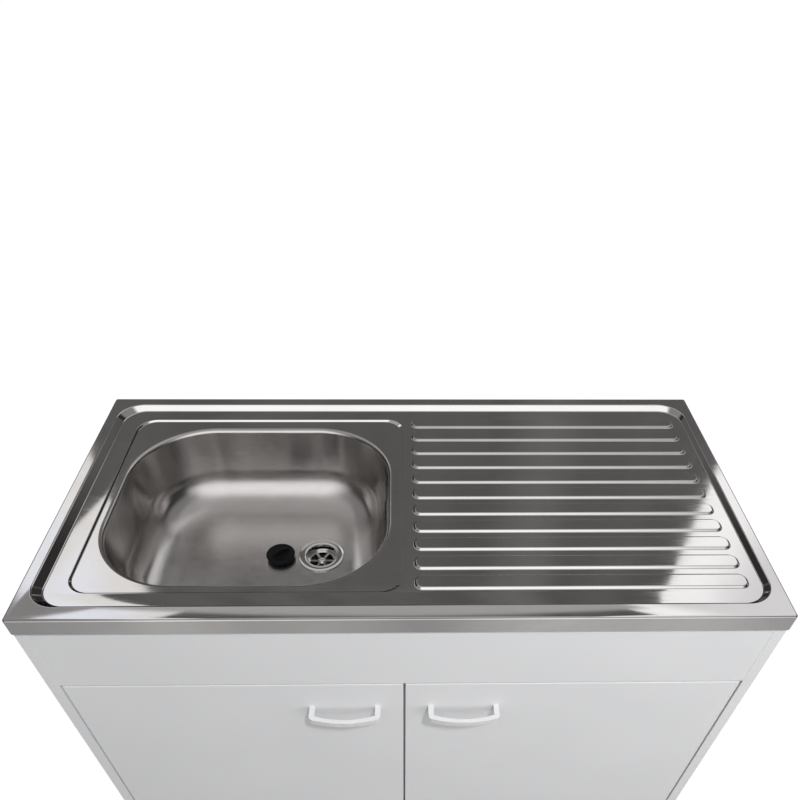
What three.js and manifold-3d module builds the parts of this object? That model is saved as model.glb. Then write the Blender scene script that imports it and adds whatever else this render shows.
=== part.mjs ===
// A kitchen sink unit: a white two-door base cabinet under a lay-on stainless steel sink top with
// a bowl on the left and a ribbed drainer on the right.
// Millimetres, +X to the right, +Y to the back, +Z up, floor at z = 0.
import * as THREE from 'three';
import { mergeVertices } from 'three/addons/utils/BufferGeometryUtils.js';
import Module from 'manifold-3d';

const wasm = await Module();
wasm.setup();

// ------------------------------------------------------------------------------------------------
// Driving dimensions
// ------------------------------------------------------------------------------------------------
// Overall
const sinkWidth = 1000;
const sinkDepth = 500;
const worktopHeight = 850;
const lipHeight = 28;
const lipOverhangSide = 2;
const lipOverhangFront = 3;
const lipOverhangRear = 3;

// Fits
const turnedGap = 0.3;
const seatGap = 0.3;

// How far a cut runs past the face it opens, and how far a joined form runs into its neighbour
const cutMargin = 1;
const joinDepth = 1;

// Carcass boards
const panelThickness = 16;
const railHeight = 118;
const plinthHeight = 100;
const plinthSetback = 50;
const rearRailHeight = 135;
const glideHeight = 4;
const glideRadius = 7.5;
const glideInset = 40;
const glideNailRadius = 1;
const glideEdgeBevel = 1;
const glideNailLength = 10;

// Carcass screws
const screwLength = 50;
const screwShankRadius = 2.5;
const screwHeadRadius = 4;
const screwHeadDepth = 4;
const screwTipLength = 6;
const screwSocketRadius = 1.8;
const screwSocketDepth = 2.5;
const screwInsetFront = 80;
const screwInsetRear = 80;

// Doors
const doorThickness = 16;
const doorGap = 3;
const doorCentreGap = 3;
const doorSweepGap = 1;

// Bow handles
const handleHoleSpacing = 96;
const handleEndMargin = 4;
const handleLegWidth = 8;
const handleBarHeight = 9.5;
const handleBarThickness = 6;
const handleLegReach = 23;
const handleBulge = 7;
const handleBelowDoorTop = 59;
const handleFromDoorEdge = 37.5;
const handleEdgeRound = 1.2;
const handleCornerRound = 7;
const handleShoulder = 1;
const handleScrewRadius = 2;
const handleScrewBite = 10;
const handleScrewHeadRadius = 4;
const handleScrewHeadHeight = 2.2;
const handleScrewHeadBevel = 1;
const handleScrewSlotWidth = 1;
const handleScrewSlotDepth = 1.2;

// Concealed hinges, measured from the side panel's inner face and the carcass front
const hingeInset = 90;
const hingePivotInset = 15;
const hingeCupRadius = 17.2;
const hingeCupDepth = 12;
const hingeCupWall = 1;
const hingeCupFromPivot = 9.5;
const hingeWingHeight = 52;
const hingeWingWidth = 18;
const hingeWingThickness = 1.5;
const hingePinRadius = 1.2;
const hingePinLength = 24;
const hingeKnuckleRadius = 2.6;
const hingeEarGap = 1;
const hingeEarWidth = 6;
const hingeArmWidth = 14;
const hingeArmThickness = 3;
const hingeArmSideStep = 16;
const hingeArmLift = 3.5;
const hingeArmClearDepth = 19;
const hingeArmBendDepth = 26;
const hingeArmReach = 41;
const hingePlateThickness = 6;
const hingePlateWingThickness = 2;
const hingePlateLength = 32;
const hingePlateStart = 28;
const hingePlateHeight = 50;
const hingePlateRidgeHeight = 16;
const hingePlateWingLength = 14;

// Sink top sheet
const sheet = 0.8;
const lipCornerRadius = 4;
const lipEdgeRadius = 2.5;
const lipReturn = 12;

// First pressed step: the whole sunk field inside the flat rim
const rimSide = 15;
const rimRear = 15;
const rimFront = 22;
const fieldDepth = 7;
const fieldSlope = 10;
const fieldCornerRadius = 40;

// Second pressed step: the zone round the bowl
const zoneLeft = 55;
const zoneWidth = 448;
const zoneFront = 51.5;
const zoneRear = 54;
const zoneDepth = 2.5;
const zoneSlope = 5;
const zoneCornerRadius = 30;

// Bowl
const bowlDepth = 150;
const bowlLeft = 17;
const bowlRight = 27;
const bowlFront = 18.5;
const bowlRear = 28;
const bowlCornerRadius = 120;
const bowlRollRadius = 7;
const bowlDraftDegrees = 4;
const bowlFloorFillet = 68;

// Drainer ribs
const ribPitch = 36.5;
const ribWidth = 28;
const ribHeight = 2.8;
const ribSlope = 3.5;
const ribEndRadius = 12;
const ribsFromZone = 12;
const ribsFromField = 16;
const ribsFront = 54;
const ribsRear = 52;

// Drain
const drainFromBowlRight = 113;
const drainFromBowlFront = 191;
const drainHoleRadius = 26;
const flangeRadius = 38;
const flangeRise = 2.2;
const flangeWall = 1.2;
const flangeThroatDepth = 14;
const flangeEdgeBevel = 3;
const flangeThroatFlare = 4;
const flangeThroatLip = 1;
const strainerThickness = 2;
const strainerOpenRadius = 19.5;
const strainerHubRadius = 7.5;
const strainerSpokeWidth = 4;
const strainerSpokes = 6;
const strainerSeat = 3.5;
const wasteScrewRadius = 2.8;
const wasteScrewHeadRadius = 5.5;
const wasteScrewHeadHeight = 3;
const wasteScrewLength = 34;
const wasteScrewSlotWidth = 1.2;
const wasteScrewSlotDepth = 1.4;

// Waste body and bottle trap
const gasketThickness = 3;
const gasketInset = 1;
const wasteRimThickness = 4;
const wasteCupRadius = 29;
const wasteCupDepth = 31;
const wasteConeHeight = 15;
const wasteNeckRadius = 22.5;
const wasteNeckWall = 3.5;
const wasteNeckLength = 28;
const wasteBossRadius = 7;
const wasteBossHeight = 25;
const wasteRibThickness = 3;
const wasteRibCount = 3;
const trapPipeRadius = 16;
const trapPipeWall = 2;
const trapCollarHeight = 4;
const trapNutRadius = 28;
const trapNutHeight = 26;
const trapNutLip = 5;
const trapNutLobes = 8;
const trapNutGrooveRadius = 3;
const trapDropBelowNut = 12;
const trapBottleRadius = 32;
const trapBottleWall = 2.5;
const trapBottleHeight = 100;
const trapBottleCap = 4;
const trapBottleBevel = 4;
const trapDipDepth = 80;
const trapOutletDrop = 27;
const trapStubRadius = 19;
const trapStubLength = 23;
const trapSeatDepth = 20;
const outletNutRadius = 25;
const outletNutLength = 22;
const outletPipeSetback = 10;

// Anti-drumming pad, sink clips, plug
const padThickness = 2;
const padMarginX = 20;
const padMarginY = 20;
const padDrainClearance = 3;
const clipThickness = 1.5;
const clipWidth = 20;
const clipDrop = 30;
const clipHookLength = 11;
const clipFromEdge = 120;
const plugRadius = 23.5;
const plugBaseRadius = 20;
const plugHeight = 18.6;
const plugBodyHeight = 11;
const plugGripWidth = 5;
const plugGripInset = 3;
const plugShoulder = 1.5;
const plugGripAngle = 38;
const plugFromDrainX = 66.5;
const plugFromDrainY = 4;

// Facets
const cornerSteps = 5;
const bowlSteps = 8;
const ribSteps = 2;
const curveSteps = 24;
const holeSteps = 10;
const hexSteps = 6;
const grooveSteps = 8;
const rollSteps = 3;
const arcSteps = 4;

// ------------------------------------------------------------------------------------------------
// Derived sizes and places
// ------------------------------------------------------------------------------------------------
const carcassWidth = sinkWidth - 2 * lipOverhangSide;
const carcassDepth = sinkDepth - lipOverhangFront - lipOverhangRear;
const carcassTop = worktopHeight - lipHeight;
const outerX = carcassWidth / 2;
const innerX = outerX - panelThickness;
const bottomTop = plinthHeight + panelThickness;

const doorOuterX = innerX - doorGap;
const doorInnerX = doorCentreGap / 2;
const doorLow = plinthHeight + doorGap;
const doorHigh = carcassTop - railHeight - doorGap;

const handleReach = handleLegReach + handleBulge;
const handleZ = doorHigh - handleBelowDoorTop;
const handleNearX = doorInnerX + handleFromDoorEdge;
const handleX = handleNearX + handleHoleSpacing / 2;

const pivotY = doorThickness / 2;
const hingeHeights = { lower: doorLow + hingeInset, upper: doorHigh - hingeInset };
const cupCentre = hingePivotInset + hingeCupFromPivot;

// The door's rear outer corner sweeps this far behind the carcass front as the door swings.
const doorSweep = pivotY + Math.hypot(hingePivotInset - doorGap, doorThickness - pivotY);

const sinkFront = -lipOverhangFront;
const sinkRear = sinkFront + sinkDepth;
const sinkSide = sinkWidth / 2;
const fieldZ = worktopHeight - fieldDepth;
const zoneZ = fieldZ - zoneDepth;
const bowlFloorZ = worktopHeight - bowlDepth;

const fieldRect = {
  x0: -sinkSide + rimSide,
  x1: sinkSide - rimSide,
  y0: sinkFront + rimFront,
  y1: sinkRear - rimRear,
};
const zoneRect = {
  x0: -sinkSide + zoneLeft,
  x1: -sinkSide + zoneLeft + zoneWidth,
  y0: sinkFront + zoneFront,
  y1: sinkRear - zoneRear,
};
const bowlRect = {
  x0: zoneRect.x0 + bowlLeft,
  x1: zoneRect.x1 - bowlRight,
  y0: zoneRect.y0 + bowlFront,
  y1: zoneRect.y1 - bowlRear,
};
const ribX0 = zoneRect.x1 + ribsFromZone;
const ribX1 = fieldRect.x1 - fieldSlope - ribsFromField;
const ribSpan = sinkDepth - ribsFront - ribsRear;
const ribCount = Math.floor((ribSpan - ribWidth) / ribPitch) + 1;

const drainX = bowlRect.x1 - drainFromBowlRight;
const drainY = bowlRect.y0 + drainFromBowlFront;
const plugX = drainX - plugFromDrainX;
const plugY = drainY - plugFromDrainY;
const throatRadius = drainHoleRadius - turnedGap - flangeWall;
const strainerZ = bowlFloorZ - flangeThroatDepth;
const gasketTop = bowlFloorZ - sheet;
const wasteTop = gasketTop - gasketThickness;
const neckTop = wasteTop - wasteCupDepth - wasteConeHeight;
const neckBottom = neckTop - wasteNeckLength;
const nutBottom = neckBottom - trapCollarHeight - trapNutLip;
const bottleTop = nutBottom - trapDropBelowNut;
const bottleBottom = bottleTop - trapBottleHeight;
const outletZ = bottleTop - trapOutletDrop;
const stubEndY = drainY + trapBottleRadius + trapStubLength;
const pipeStartY = stubEndY - trapSeatDepth;
const pipeEndY = carcassDepth - outletPipeSetback;

// The whole unit is centred front to back, from the handles to the sink's rear edge.
const centreY = (sinkRear - handleReach) / 2;

// ------------------------------------------------------------------------------------------------
// Materials
// ------------------------------------------------------------------------------------------------
function finish(color, roughness, metalness) {
  return new THREE.MeshStandardMaterial({ color, roughness, metalness });
}

const materials = {
  whiteBoard: finish(0xe9eaeb, 0.45, 0),
  whitePlastic: finish(0xf4f4f2, 0.3, 0),
  steel: finish(0xb4b0ad, 0.3, 1),
  polishedSteel: finish(0xc8c8c6, 0.18, 1),
  zinc: finish(0xa9abad, 0.4, 1),
  blackRubber: finish(0x17181a, 0.6, 0),
  padGrey: finish(0x4b4c4e, 0.9, 0),
  trapPlastic: finish(0xe6e6e3, 0.4, 0),
  glidePlastic: finish(0x8b8d8f, 0.55, 0),
};

// ------------------------------------------------------------------------------------------------
// Solids
// ------------------------------------------------------------------------------------------------
function toSolid(geometry) {
  const bare = geometry.clone();
  bare.deleteAttribute('normal');
  bare.deleteAttribute('uv');
  const merged = mergeVertices(bare, 1e-4);
  return new wasm.Manifold(new wasm.Mesh({
    numProp: 3,
    vertProperties: new Float32Array(merged.attributes.position.array),
    triVerts: new Uint32Array(merged.index.array),
  }));
}

function toGeometry(solid) {
  const mesh = solid.getMesh();
  const geometry = new THREE.BufferGeometry();
  geometry.setAttribute('position', new THREE.BufferAttribute(mesh.vertProperties, 3));
  geometry.setIndex(new THREE.BufferAttribute(mesh.triVerts, 1));
  geometry.computeVertexNormals();
  return geometry;
}

function block(x0, x1, y0, y1, z0, z1) {
  const geometry = new THREE.BoxGeometry(Math.abs(x1 - x0), y1 - y0, z1 - z0);
  geometry.translate((x0 + x1) / 2, (y0 + y1) / 2, (z0 + z1) / 2);
  return toSolid(geometry);
}

const directions = {
  x: (geometry) => geometry.rotateZ(-Math.PI / 2),
  y: (geometry) => geometry,
  z: (geometry) => geometry.rotateX(Math.PI / 2),
};

// A round bar or bore from a start point, along one axis.
function rod(axis, start, length, radius, steps = holeSteps) {
  const geometry = new THREE.CylinderGeometry(radius, radius, Math.abs(length), steps);
  directions[axis](geometry);
  const centre = new THREE.Vector3(...start);
  centre[axis] += length / 2;
  geometry.translate(centre.x, centre.y, centre.z);
  return toSolid(geometry);
}

// A turned solid: a closed outline of [radius, height] points about an axis through the given place.
function turned(outline, axis, place, steps = curveSteps) {
  const closed = [...outline, outline[0]].map(([radius, height]) => new THREE.Vector2(radius, height));
  if (!THREE.ShapeUtils.isClockWise(closed)) {
    closed.reverse();
  }
  const geometry = new THREE.LatheGeometry(closed.reverse(), steps);
  directions[axis](geometry);
  geometry.translate(...place);
  return toSolid(geometry);
}

// A prism from an outline of [x, y] points, between two heights.
function prism(points, z0, z1) {
  const shape = new THREE.Shape(points.map(([x, y]) => new THREE.Vector2(x, y)));
  const geometry = new THREE.ExtrudeGeometry(shape, { depth: z1 - z0, bevelEnabled: false });
  geometry.translate(0, 0, z0);
  return toSolid(geometry);
}

// A rectangle with round corners, grown by an outset, as a ring of points at one height.
function roundedRing(rect, outset, cornerRadius, z, steps) {
  const x0 = rect.x0 - outset;
  const x1 = rect.x1 + outset;
  const y0 = rect.y0 - outset;
  const y1 = rect.y1 + outset;
  const largest = 0.49 * Math.min(x1 - x0, y1 - y0);
  const radius = Math.min(Math.max(cornerRadius + outset, 0.5), largest);
  const corners = [
    [x1 - radius, y0 + radius, -90],
    [x1 - radius, y1 - radius, 0],
    [x0 + radius, y1 - radius, 90],
    [x0 + radius, y0 + radius, 180],
  ];
  const ring = [];
  for (const [cx, cy, startDegrees] of corners) {
    for (let step = 0; step <= steps; step += 1) {
      const angle = THREE.MathUtils.degToRad(startDegrees + (90 * step) / steps);
      ring.push([cx + radius * Math.cos(angle), cy + radius * Math.sin(angle), z]);
    }
  }
  return ring;
}

// A closed solid through convex rings with the same number of points, listed from the lowest up.
function loft(rings) {
  const count = rings[0].length;
  const indices = [];
  for (let level = 0; level + 1 < rings.length; level += 1) {
    for (let i = 0; i < count; i += 1) {
      const a = level * count + i;
      const b = level * count + ((i + 1) % count);
      indices.push(a, b, b + count, a, b + count, a + count);
    }
  }
  const top = (rings.length - 1) * count;
  for (let i = 1; i + 1 < count; i += 1) {
    indices.push(0, i + 1, i);
    indices.push(top, top + i, top + i + 1);
  }
  const geometry = new THREE.BufferGeometry();
  geometry.setAttribute('position', new THREE.Float32BufferAttribute(rings.flat(2), 3));
  geometry.setIndex(indices);
  return toSolid(geometry);
}

// A stack of rings from [outset, height] levels, highest first, each moved out and down by an offset.
function pressing(rect, levels, cornerRadius, offset, steps) {
  const ringAt = ([outset, z]) => roundedRing(rect, outset + offset, cornerRadius, z - offset, steps);
  return loft(levels.map(ringAt).reverse());
}

// ------------------------------------------------------------------------------------------------
// Assembly
// ------------------------------------------------------------------------------------------------
const group = new THREE.Group();
group.position.y = -centreY;

function addPiece(name, solid, material) {
  const mesh = new THREE.Mesh(toGeometry(solid), material);
  mesh.name = name;
  group.add(mesh);
}

const sides = { left: -1, right: 1 };

// ---- Carcass -----------------------------------------------------------------------------------
const rearRailY = carcassDepth - panelThickness;
const screwPlaces = {
  front_rail: { y: panelThickness / 2, z: carcassTop - railHeight / 2 },
  rear_rail: { y: rearRailY + panelThickness / 2, z: bottomTop + rearRailHeight / 2 },
  bottom_front: { y: screwInsetFront, z: plinthHeight + panelThickness / 2 },
  bottom_rear: { y: carcassDepth - screwInsetRear, z: plinthHeight + panelThickness / 2 },
};
const glidePlaces = { front: glideInset, rear: carcassDepth - glideInset };

function screwBore(side, place) {
  const start = [side * (outerX + turnedGap), place.y, place.z];
  const shank = rod('x', start, -side * (screwLength + 2 * turnedGap), screwShankRadius + turnedGap);
  const head = rod('x', start, -side * (screwHeadDepth + 2 * turnedGap), screwHeadRadius + turnedGap);
  return shank.add(head);
}

function cutScrewBores(board, boardPlaces) {
  let result = board;
  for (const side of Object.values(sides)) {
    for (const place of boardPlaces) {
      result = result.subtract(screwBore(side, place));
    }
  }
  return result;
}

function sidePanel(side) {
  let panel = block(side * innerX, side * outerX, 0, carcassDepth, glideHeight, carcassTop);
  panel = cutScrewBores(panel, Object.values(screwPlaces));
  for (const y of Object.values(glidePlaces)) {
    const start = [side * (outerX - panelThickness / 2), y, glideHeight - turnedGap];
    panel = panel.subtract(rod('z', start, glideNailLength + 2 * turnedGap, glideNailRadius + turnedGap));
  }
  return panel;
}

function carcassScrew(side, place) {
  const outline = [
    [0, 0],
    [screwHeadRadius, 0],
    [screwHeadRadius, screwHeadDepth],
    [screwShankRadius, screwHeadDepth],
    [screwShankRadius, screwLength - screwTipLength],
    [0, screwLength],
  ];
  const screw = turned(outline.map(([r, h]) => [r, -side * h]), 'y', [0, 0, 0], holeSteps);
  const socketReach = -side * (screwSocketDepth + turnedGap);
  const socket = rod('y', [0, side * turnedGap, 0], socketReach, screwSocketRadius, hexSteps);
  const along = screw.subtract(socket).rotate([0, 0, -90]);
  return along.translate([side * outerX, place.y, place.z]);
}

function glide(side, y) {
  const outline = [
    [0, 0],
    [glideRadius - glideEdgeBevel, 0],
    [glideRadius, glideEdgeBevel],
    [glideRadius, glideHeight],
    [glideNailRadius, glideHeight],
    [glideNailRadius, glideHeight + glideNailLength],
    [0, glideHeight + glideNailLength],
  ];
  return turned(outline, 'z', [side * (outerX - panelThickness / 2), y, 0], holeSteps);
}

function addCarcass() {
  for (const [sideName, side] of Object.entries(sides)) {
    addPiece(`${sideName}_side_panel`, sidePanel(side), materials.whiteBoard);
    for (const [placeName, y] of Object.entries(glidePlaces)) {
      addPiece(`${sideName}_${placeName}_glide`, glide(side, y), materials.glidePlastic);
    }
    for (const [placeName, place] of Object.entries(screwPlaces)) {
      addPiece(`${sideName}_${placeName}_screw`, carcassScrew(side, place), materials.zinc);
    }
  }
  const frontRail = block(-innerX, innerX, 0, panelThickness, carcassTop - railHeight, carcassTop);
  addPiece('front_rail', cutScrewBores(frontRail, [screwPlaces.front_rail]), materials.whiteBoard);
  const rearRail = block(-innerX, innerX, rearRailY, carcassDepth, bottomTop, bottomTop + rearRailHeight);
  addPiece('rear_rail', cutScrewBores(rearRail, [screwPlaces.rear_rail]), materials.whiteBoard);
  const bottomFront = doorSweep + doorSweepGap;
  const bottom = block(-innerX, innerX, bottomFront, carcassDepth, plinthHeight, bottomTop);
  const bottomPlaces = [screwPlaces.bottom_front, screwPlaces.bottom_rear];
  addPiece('bottom_panel', cutScrewBores(bottom, bottomPlaces), materials.whiteBoard);
  const plinthRear = plinthSetback + panelThickness;
  const plinth = block(-innerX, innerX, plinthSetback, plinthRear, glideHeight, plinthHeight);
  addPiece('plinth_board', plinth, materials.whiteBoard);
}

// ---- Doors and handles -------------------------------------------------------------------------
const handleFeet = [handleX - handleHoleSpacing / 2, handleX + handleHoleSpacing / 2];

function door(side) {
  let board = block(side * doorInnerX, side * doorOuterX, 0, doorThickness, doorLow, doorHigh);
  const cupX = side * (innerX - cupCentre);
  for (const z of Object.values(hingeHeights)) {
    const start = [cupX, doorThickness + turnedGap, z];
    const depth = hingeCupDepth + 2 * turnedGap;
    board = board.subtract(rod('y', start, -depth, hingeCupRadius + turnedGap, curveSteps));
  }
  for (const footX of handleFeet) {
    const start = [side * footX, -turnedGap, handleZ];
    const depth = doorThickness + 2 * turnedGap;
    board = board.subtract(rod('y', start, depth, handleScrewRadius + turnedGap));
  }
  return board;
}

// The handle's outline seen from above: two straight legs joined by a bar that bows outward.
function handleOutline() {
  const outerHalf = handleHoleSpacing / 2 + handleEndMargin;
  const innerHalf = outerHalf - handleLegWidth;
  const innerReach = handleLegReach - handleBarThickness;
  const shoulderReach = handleLegReach + handleShoulder;
  const bendX = outerHalf - handleCornerRound;
  const shape = new THREE.Shape();
  shape.moveTo(-outerHalf, 0);
  shape.lineTo(-outerHalf, -handleLegReach + handleCornerRound);
  shape.quadraticCurveTo(-outerHalf, -handleLegReach, -bendX, -shoulderReach);
  shape.quadraticCurveTo(0, shoulderReach - 2 * handleReach, bendX, -shoulderReach);
  shape.quadraticCurveTo(outerHalf, -handleLegReach, outerHalf, -handleLegReach + handleCornerRound);
  shape.lineTo(outerHalf, 0);
  shape.lineTo(innerHalf, 0);
  shape.lineTo(innerHalf, -innerReach);
  shape.quadraticCurveTo(0, -innerReach - 2 * handleBulge, -innerHalf, -innerReach);
  shape.lineTo(-innerHalf, 0);
  return shape;
}

function handle(side) {
  const flatHeight = handleBarHeight - 2 * handleEdgeRound;
  const geometry = new THREE.ExtrudeGeometry(handleOutline(), {
    depth: flatHeight,
    bevelThickness: handleEdgeRound,
    bevelSize: handleEdgeRound,
    bevelOffset: -handleEdgeRound,
    bevelSegments: 2,
    curveSegments: 8,
  });
  geometry.translate(side * handleX, 0, handleZ - flatHeight / 2);
  let bow = toSolid(geometry);
  for (const footX of handleFeet) {
    const start = [side * footX, turnedGap, handleZ];
    const depth = handleScrewBite + 2 * turnedGap;
    bow = bow.subtract(rod('y', start, -depth, handleScrewRadius + turnedGap));
  }
  return bow;
}

function handleScrew(side, footX) {
  const tail = doorThickness + handleScrewBite;
  const outline = [
    [0, -tail],
    [handleScrewRadius, -tail],
    [handleScrewRadius, 0],
    [handleScrewHeadRadius, 0],
    [handleScrewHeadRadius - handleScrewHeadBevel, handleScrewHeadHeight],
    [0, handleScrewHeadHeight],
  ];
  const place = [side * footX, doorThickness, handleZ];
  const screw = turned(outline, 'y', place, holeSteps);
  const slotHalf = handleScrewHeadRadius + cutMargin;
  const headTop = doorThickness + handleScrewHeadHeight;
  const slot = block(
    place[0] - slotHalf, place[0] + slotHalf,
    headTop - handleScrewSlotDepth, headTop + cutMargin,
    handleZ - handleScrewSlotWidth / 2, handleZ + handleScrewSlotWidth / 2,
  );
  return screw.subtract(slot);
}

function addDoors() {
  for (const [sideName, side] of Object.entries(sides)) {
    addPiece(`${sideName}_door`, door(side), materials.whiteBoard);
    addPiece(`${sideName}_handle`, handle(side), materials.whitePlastic);
    addPiece(`${sideName}_handle_inner_screw`, handleScrew(side, handleFeet[0]), materials.zinc);
    addPiece(`${sideName}_handle_outer_screw`, handleScrew(side, handleFeet[1]), materials.zinc);
  }
}

// ---- Hinges ------------------------------------------------------------------------------------
// Places in a hinge are [distance from the side panel's inner face, distance behind the carcass front].
const hingePlaceX = (side, inset) => side * (innerX - inset);

// The outline of a strip of even thickness along a bent line.
function stripOutline(points, thickness) {
  const half = thickness / 2;
  const left = [];
  const right = [];
  const line = points.map(([x, y]) => new THREE.Vector2(x, y));
  for (let i = 0; i < line.length; i += 1) {
    const before = line[Math.max(i - 1, 0)];
    const after = line[Math.min(i + 1, line.length - 1)];
    const into = line[i].clone().sub(before).normalize();
    const out = after.clone().sub(line[i]).normalize();
    const first = i === 0 ? out : into;
    const last = i === line.length - 1 ? into : out;
    const mitre = first.clone().add(last).normalize();
    const normal = new THREE.Vector2(-mitre.y, mitre.x);
    const spread = half / Math.max(mitre.dot(first), 0.3);
    left.push([line[i].x + normal.x * spread, line[i].y + normal.y * spread]);
    right.push([line[i].x - normal.x * spread, line[i].y - normal.y * spread]);
  }
  return [...left, ...right.reverse()];
}

function hingeArm(side, z) {
  const restInset = hingePlateThickness + seatGap + hingeArmThickness / 2;
  const armLine = [
    [hingePivotInset, pivotY],
    [hingePivotInset + hingeArmSideStep, pivotY + hingeArmLift],
    [hingePivotInset + hingeArmSideStep, pivotY + hingeArmClearDepth],
    [restInset, pivotY + hingeArmBendDepth],
    [restInset, pivotY + hingeArmBendDepth + hingeArmReach],
  ];
  const places = armLine.map(([inset, y]) => [hingePlaceX(side, inset), y]);
  const low = z - hingeArmWidth / 2;
  const high = z + hingeArmWidth / 2;
  const strip = prism(stripOutline(places, hingeArmThickness), low, high);
  const pivot = [hingePlaceX(side, hingePivotInset), pivotY, low];
  const knuckle = rod('z', pivot, hingeArmWidth, hingeKnuckleRadius);
  const boreStart = [pivot[0], pivot[1], low - turnedGap];
  const bore = rod('z', boreStart, hingeArmWidth + 2 * turnedGap, hingePinRadius + turnedGap);
  return strip.add(knuckle).subtract(bore);
}

function hingePlate(side, z) {
  const ridgeRear = hingePlateStart + hingePlateLength;
  const ridge = block(
    hingePlaceX(side, 0), hingePlaceX(side, hingePlateThickness),
    hingePlateStart, ridgeRear,
    z - hingePlateRidgeHeight / 2, z + hingePlateRidgeHeight / 2,
  );
  const wingStart = hingePlateStart + (hingePlateLength - hingePlateWingLength) / 2;
  const wings = block(
    hingePlaceX(side, 0), hingePlaceX(side, hingePlateWingThickness),
    wingStart, wingStart + hingePlateWingLength,
    z - hingePlateHeight / 2, z + hingePlateHeight / 2,
  );
  return ridge.add(wings);
}

function hingePin(side, z) {
  const start = [hingePlaceX(side, hingePivotInset), pivotY, z - hingePinLength / 2];
  return rod('z', start, hingePinLength, hingePinRadius);
}

function hingeCup(side, z) {
  const cupX = hingePlaceX(side, cupCentre);
  const rim = doorThickness;
  const bottom = rim - hingeCupDepth;
  const cup = rod('y', [cupX, bottom, z], hingeCupDepth + hingeWingThickness, hingeCupRadius, curveSteps);
  const wings = block(
    cupX - hingeWingWidth / 2, cupX + hingeWingWidth / 2,
    rim, rim + hingeWingThickness,
    z - hingeWingHeight / 2, z + hingeWingHeight / 2,
  );
  const hollowDepth = hingeCupDepth + hingeWingThickness;
  const hollowStart = [cupX, bottom + hingeCupWall, z];
  const hollow = rod('y', hollowStart, hollowDepth, hingeCupRadius - hingeCupWall, curveSteps);
  const shell = cup.add(wings).subtract(hollow);
  const pivotX = hingePlaceX(side, hingePivotInset);
  const earInner = hingeArmWidth / 2 + hingeEarGap;
  const earOuter = hingePinLength / 2 + 2 * turnedGap;
  let ears = null;
  for (const end of [-1, 1]) {
    const ear = block(
      pivotX - hingeEarWidth / 2, pivotX + hingeEarWidth / 2,
      bottom, pivotY + hingeEarWidth / 2,
      Math.min(z + end * earInner, z + end * earOuter),
      Math.max(z + end * earInner, z + end * earOuter),
    );
    ears = ears ? ears.add(ear) : ear;
  }
  const envelope = rod('y', [cupX, bottom, z], hingeCupDepth, hingeCupRadius, curveSteps);
  const boreLength = hingePinLength + 2 * turnedGap;
  const boreStart = [pivotX, pivotY, z - boreLength / 2];
  const bore = rod('z', boreStart, boreLength, hingePinRadius + turnedGap);
  return shell.add(ears.intersect(envelope)).subtract(bore);
}

function addHinges() {
  for (const [sideName, side] of Object.entries(sides)) {
    for (const [levelName, z] of Object.entries(hingeHeights)) {
      const prefix = `${sideName}_${levelName}_hinge`;
      addPiece(`${prefix}_plate`, hingePlate(side, z), materials.zinc);
      addPiece(`${prefix}_arm`, hingeArm(side, z), materials.zinc);
      addPiece(`${prefix}_pin`, hingePin(side, z), materials.polishedSteel);
      addPiece(`${prefix}_cup`, hingeCup(side, z), materials.zinc);
    }
  }
}

// ---- Sink top ----------------------------------------------------------------------------------
const lipRect = { x0: -sinkSide, x1: sinkSide, y0: sinkFront, y1: sinkRear };

// The lip's outer or inner faces: upright sides that roll over into the flat deck.
function lipBlock(offset, lowZ) {
  const levels = [[-offset, lowZ]];
  const roll = lipEdgeRadius - offset;
  for (let step = 0; step <= rollSteps; step += 1) {
    const angle = (Math.PI / 2) * (step / rollSteps);
    const inset = offset + roll * (1 - Math.cos(angle));
    levels.push([-inset, worktopHeight - offset - roll * (1 - Math.sin(angle))]);
  }
  return loft(levels.map(([outset, z]) => roundedRing(lipRect, outset, lipCornerRadius, z, cornerSteps)));
}

function bowlLevels() {
  const draft = Math.tan(THREE.MathUtils.degToRad(bowlDraftDegrees));
  const rollBottom = zoneZ - bowlRollRadius;
  const filletTop = bowlFloorZ + bowlFloorFillet;
  const wallInset = draft * (rollBottom - filletTop);
  const levels = [[bowlRollRadius, zoneZ + cutMargin]];
  for (let step = 0; step <= arcSteps; step += 1) {
    const angle = (Math.PI / 2) * (step / arcSteps);
    levels.push([bowlRollRadius * (1 - Math.sin(angle)), zoneZ - bowlRollRadius * (1 - Math.cos(angle))]);
  }
  for (let step = 0; step <= arcSteps; step += 1) {
    const angle = (Math.PI / 2) * (step / arcSteps);
    const inset = wallInset + bowlFloorFillet * (1 - Math.cos(angle));
    levels.push([-inset, filletTop - bowlFloorFillet * Math.sin(angle)]);
  }
  return levels;
}

// The open space over the sheet's upper face, or over its lower face when offset by the sheet's thickness.
function sinkSpace(offset, openTop) {
  const field = pressing(fieldRect, [
    [0, openTop + offset],
    [0, worktopHeight],
    [-0.2 * fieldSlope, worktopHeight - 0.12 * fieldDepth],
    [-0.8 * fieldSlope, fieldZ + 0.12 * fieldDepth],
    [-fieldSlope, fieldZ],
  ], fieldCornerRadius, offset, cornerSteps);
  const zone = pressing(zoneRect, [
    [0, fieldZ + cutMargin],
    [0, fieldZ],
    [-zoneSlope, zoneZ],
  ], zoneCornerRadius, offset, cornerSteps);
  const bowl = pressing(bowlRect, bowlLevels(), bowlCornerRadius, offset, bowlSteps);
  let space = field.add(zone).add(bowl);
  for (let rib = 0; rib < ribCount; rib += 1) {
    const y0 = sinkFront + ribsFront + rib * ribPitch;
    const rect = { x0: ribX0, x1: ribX1, y0, y1: y0 + ribWidth };
    const rings = [
      [0, fieldZ - 2 * ribHeight],
      [0, fieldZ],
      [-ribSlope, fieldZ + ribHeight],
    ].map(([outset, z]) => roundedRing(rect, outset - offset, ribEndRadius, z - offset, ribSteps));
    space = space.subtract(loft(rings));
  }
  return space;
}

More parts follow.
